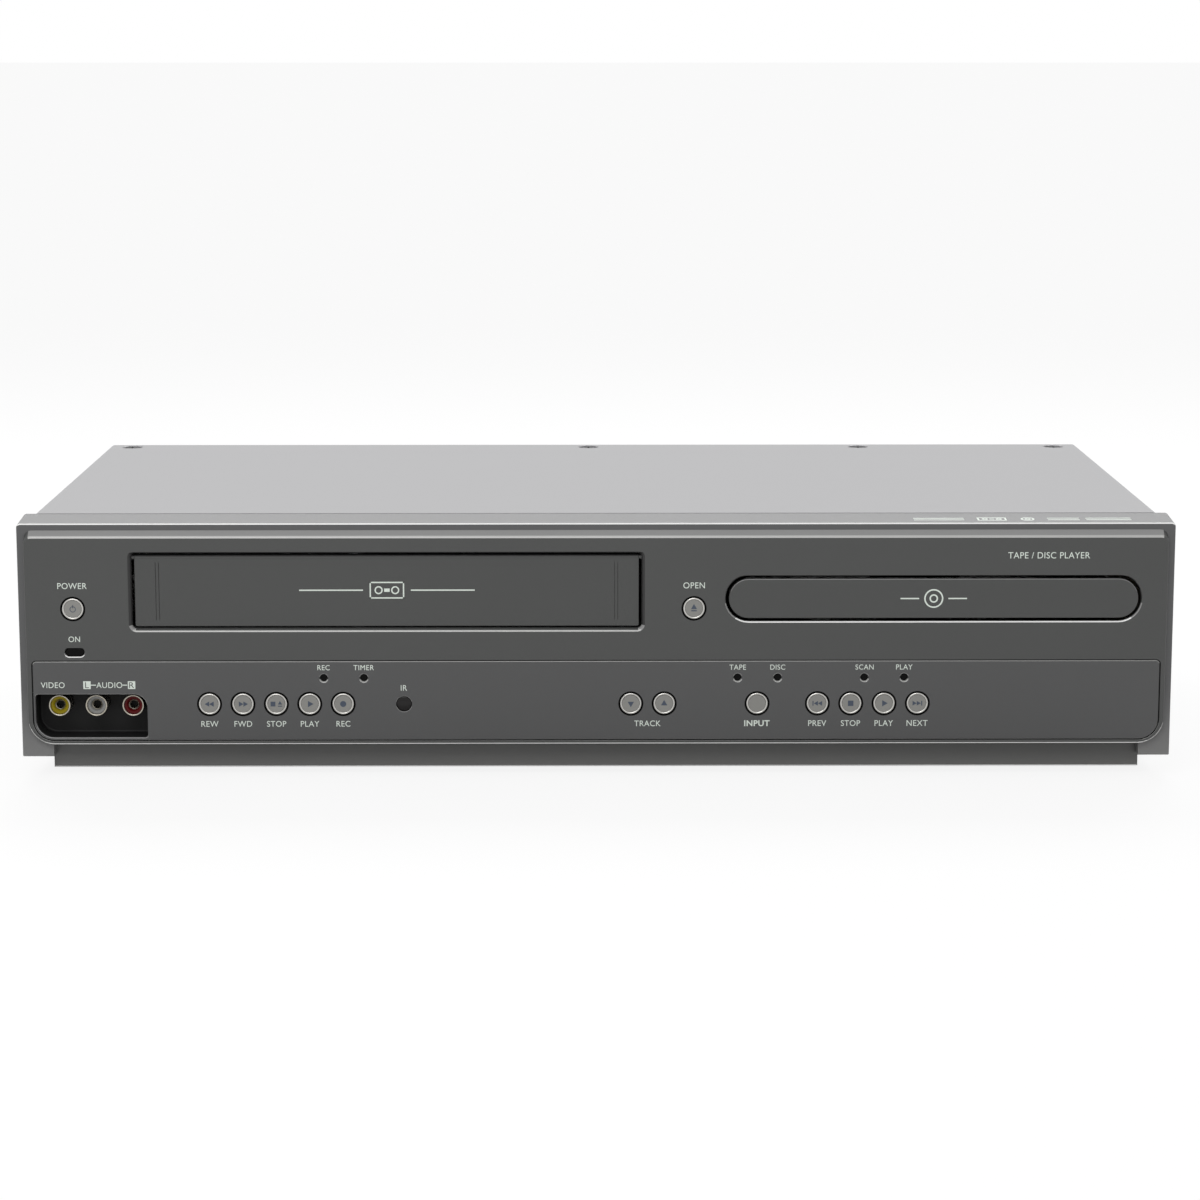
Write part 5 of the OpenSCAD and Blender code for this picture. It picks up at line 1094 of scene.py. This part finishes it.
# Case screws. Black steel screws with domed heads and cross recesses: four through the cover's top, two in
# each side, and six that hold the rear panel's connectors.
head = turned("head", [(-6, 1.2), (-5.6, 1.5), (0, 1.5), (0, 3.3), (0.5, 3.3), (0.85, 3.1), (1.15, 2.5),
                       (1.33, 1.6), (1.4, 0.6)], sides=32)
cross = block("cross", (-1.8 * MM, -0.38 * MM, 0.5 * MM), (1.8 * MM, 0.38 * MM, 2 * MM))
combine(head, "DIFFERENCE", copied(cross, "cross_b", (0, 0, 0)), put(cross, (0, 0, 0), (0, 0, 90)))
smooth(head)
panel_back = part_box("rear_panel")[1].y
rear_jack_low, rear_jack_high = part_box("rear_jacks")
jack_step = 16 * MM
bank_edge = 8 * MM
tape_jack_x = [rear_jack_low.x + bank_edge + i * jack_step for i in range(4)]
disc_jack_x = [rear_jack_high.x - bank_edge - i * jack_step for i in range(4, -1, -1)]
tape_bank_x = tape_jack_x[0] + 1.5 * jack_step
corner_x = cover_high.x - 1.2 * MM - 7.45 * MM
side_screw_z = foot_high.z + 8 * MM
screw_places = [((x, screw_y, cover_high.z - seat_deep * MM), "Z") for x in top_screw_x]
screw_places += [((side, y, side_screw_z), way) for side, way in ((cover_low.x, "-X"), (cover_high.x, "X"))
                 for y in (cover_low.y + 39 * MM, rear_y - 54.5 * MM)]
screw_places += [((x, panel_back, z), "Y") for x, z in (
    (tape_bank_x, 50 * MM), (disc_jack_x[0] - 22 * MM, 50 * MM), (disc_jack_x[2], 50 * MM),
    (-corner_x, 80 * MM), (corner_x, 80 * MM), (0, 90 * MM))]
screws = [put(copied(head, "screw", (0, 0, 0)), place, TURNS[way]) for place, way in screw_places]
bpy.data.objects.remove(head)
case_screws = joined("case_screws", screws)
paint(case_screws, metal("black_screw", (0.05, 0.05, 0.052), 0.35, (1, 1, 1)))
stands_for(case_screws, "screw_black", "cover_screws")


# Rear connectors. Two banks of jacks in black mouldings behind the panel, two threaded antenna connectors
# on a tin-plated can, and the rubber gland for the mains lead.
BANKS = [(tape_jack_x, "yellow white red black", "yellow white red black"),
         (disc_jack_x, "green blue red white red", "yellow black white red black")]
rear_rows = (22 * MM, 38 * MM)
front_of_panel = panel_back - 1.2 * MM
reach = (rear_jack_high.y - panel_back) / MM
collar = ringed((-1.3, 5.6), (0.5, 5.6), (0.8, 5.3), (0.8, 4.2), (-1.3, 4.2))
shell = ringed(*rolled_end(reach, 1), (-1, 3.45), (-1, sleeve_r))
fill = [(-1, 3.44), (reach - 0.7, 3.44), (reach - 0.7, 2.4), (reach - 1, 2.1), (reach - 1.6, 1.7),
        (reach - 5, 1.6)]
connectors = []
for columns, upper, lower in BANKS:
    bank = block("bank", (columns[0] - bank_edge, front_of_panel - 7 * MM, 14.8 * MM),
                 (columns[-1] + bank_edge, front_of_panel, 45 * MM))
    round_off(bank, 0.6 * MM, runs_along("y"), 3)
    connectors.append(paint(bank, bay_black))
    for z, row in zip(rear_rows, (lower, upper)):
        for x, colour in zip(columns, row.split()):
            for name, profile, finish in (("collar", collar, bay_black), ("shell", shell, nickel),
                                          ("fill", fill, jack_plastic[colour])):
                piece = smooth(turned(name, profile, (x, panel_back, z), "Y"))
                connectors.append(paint(piece, finish))
rear_bank = joined("rear_connectors", connectors)
stands_for(rear_bank, "jack_black", "rear_jacks")

tuner_low, tuner_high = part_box("antenna_tuner")
tuner_mid = mid("antenna_tuner")[0]
can = block("can", tuner_low, (tuner_high.x, front_of_panel, tuner_high.z))
round_off(can, 0.8 * MM, lambda spot, way: abs(way.y) < 0.9 or spot.z > tuner_low.z + NEAR, 3)
antenna_r = 4.7
reach = (tuner_high.y - panel_back) / MM
ridges = [(1.6 + 0.5 * i + shift, antenna_r - drop) for i in range(int((reach - 2.2) / 0.5))
          for shift, drop in ((0, 0.35), (0.25, 0))]
barrel = [(-1.2, antenna_r), (0, antenna_r), (1.5, antenna_r), *ridges, (reach - 0.3, antenna_r - 0.2),
          (reach, antenna_r - 0.5), (reach, 3.2), (reach - 0.5, 3.1), (reach - 0.5, 0.9), (reach - 4, 0.8)]
nut = ringed((0, 5.9), (0.15, 6.2), (1.2, 6.2), (1.5, 5.8), (1.5, antenna_r - 0.1), (0, antenna_r - 0.1))
nuts = []
for z in (24 * MM, 40 * MM):
    place = (tuner_mid, panel_back, z)
    nuts += [turned("nut", nut, place, "Y", sides=6), turned("barrel", barrel, place, "Y", sides=40)]
tuner = smooth(joined("antenna_can", [can, *nuts]))
paint(tuner, metal("tin_plate", (0.62, 0.62, 0.61), 0.27, (1, 0.02, 1)))
stands_for(tuner, "plated_brass", "antenna_tuner")

gland_x, gland_z = mid("cord_gland")
out = (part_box("cord_gland")[1].y - panel_back) / MM
bush = ringed((-4.2, 3.2), (-4.2, 6.2), (0, 6.2), (0, 8.2), (1.4, 8.2), (2, 7.8), (2.2, 6), (3, 5.4),
              (3, 5), (3.6, 4.9), (3.6, 5.2), (4.2, 5.1), (4.2, 4.7), (out - 0.4, 4.4), (out, 4.1),
              (out, 3.5), (out - 0.4, 3.2))
gland = smooth(turned("lead_gland", bush, (gland_x, panel_back, gland_z), "Y", sides=40))
paint(gland, black_rubber)
stands_for(gland, "foot_rubber", "cord_gland")


# Rear print. Small plain words beside the connectors, turned to be read from behind.
def rear_word(text, x, z, tall=2.2):
    return put(lettering(text, 0, 0, tall), (x, panel_back, z), (0, 0, 180))


under_banks = 14.2 * MM
over_banks = 46.2 * MM
rear_words = [rear_word("OUT", tape_bank_x, under_banks), rear_word("IN", tuner_mid, 47.5 * MM),
              rear_word("OUT", tuner_mid, 16 * MM), rear_word("ANT", tuner_mid, 32 * MM),
              rear_word("OUT", disc_jack_x[2], under_banks)]
for columns, marks in ((tape_jack_x, ("VIDEO", "L", "R", "DC")), (disc_jack_x, ("Y", "B", "R", "L", "R"))):
    rear_words += [rear_word(mark, x, over_banks, 1.9) for x, mark in zip(columns, marks)]
rear_print = joined("rear_print", rear_words)
paint(rear_print, plastic("dark_ink", (0.03, 0.03, 0.035), 0.5))
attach(rear_print, "chassis")


# Studio. A pale floor, soft daylight all round, one broad lamp above and behind that runs along the edges,
# and one in front. The background is white to the eye, in glass and in bright metal.
def ray(nodes, kind):
    """1 for this kind of ray, and 0 for the others."""
    return nodes.node("ShaderNodeLightPath", {}, {}, f"Is {kind} Ray")


WHITE = (1, 1, 1, 1)
floor = start("floor", bpy.ops.mesh.primitive_plane_add, size=60)
floor_look = Finish("pale_floor", (0.86, 0.86, 0.86), 0.6)
paint(floor, floor_look)
glow = floor_look.node("ShaderNodeEmission", {}, {"Color": WHITE, "Strength": 1.0})
shade = Value(floor_look, floor_look.shader.outputs[0])
to_the_eye = ray(floor_look, "Camera") * 0.88
surface = floor_look.node("ShaderNodeMixShader", {}, {0: to_the_eye, 1: shade, 2: glow})
floor_look.feed(floor_look.tree.nodes["Material Output"], {"Surface": surface})

world = bpy.data.worlds.new("daylight")
bpy.context.scene.world = world
world.use_nodes = True
sky = Nodes(world.node_tree)
seen = ray(sky, "Camera") | ray(sky, "Glossy") | ray(sky, "Transmission")
daylight = 0.55
sky.feed(sky.tree.nodes["Background"], {"Color": WHITE, "Strength": daylight + seen * (1 - daylight)})


def lamp(name, place, aim, size, power):
    """A soft box that points at a place."""
    bpy.ops.object.light_add(type="AREA", location=place)
    light = bpy.context.object
    light.name = name
    light.data.shape = "RECTANGLE"
    light.data.size, light.data.size_y = size
    light.data.energy = power
    way = Vector(aim) - Vector(place)
    light.rotation_euler = way.to_track_quat("-Z", "Y").to_euler()


lamp("rear_box", (0, 0.75, 0.95), (0, 0, 0.09), (1.6, 0.5), 12)
lamp("front_box", (-0.3, -1.1, 1.0), (0, 0, 0.05), (0.9, 0.6), 7)

camera_data = bpy.data.cameras.new("camera")
camera_data.lens = 97.43
camera_data.sensor_width = 36
camera = bpy.data.objects.new("camera", camera_data)
camera.location = (-0.0066, -1.3195, 0.2786)
camera.rotation_euler = (math.radians(90 - 9.906), 0, math.radians(-0.375))
bpy.context.scene.collection.objects.link(camera)
bpy.context.scene.camera = camera
bpy.context.scene.view_settings.view_transform = "Standard"
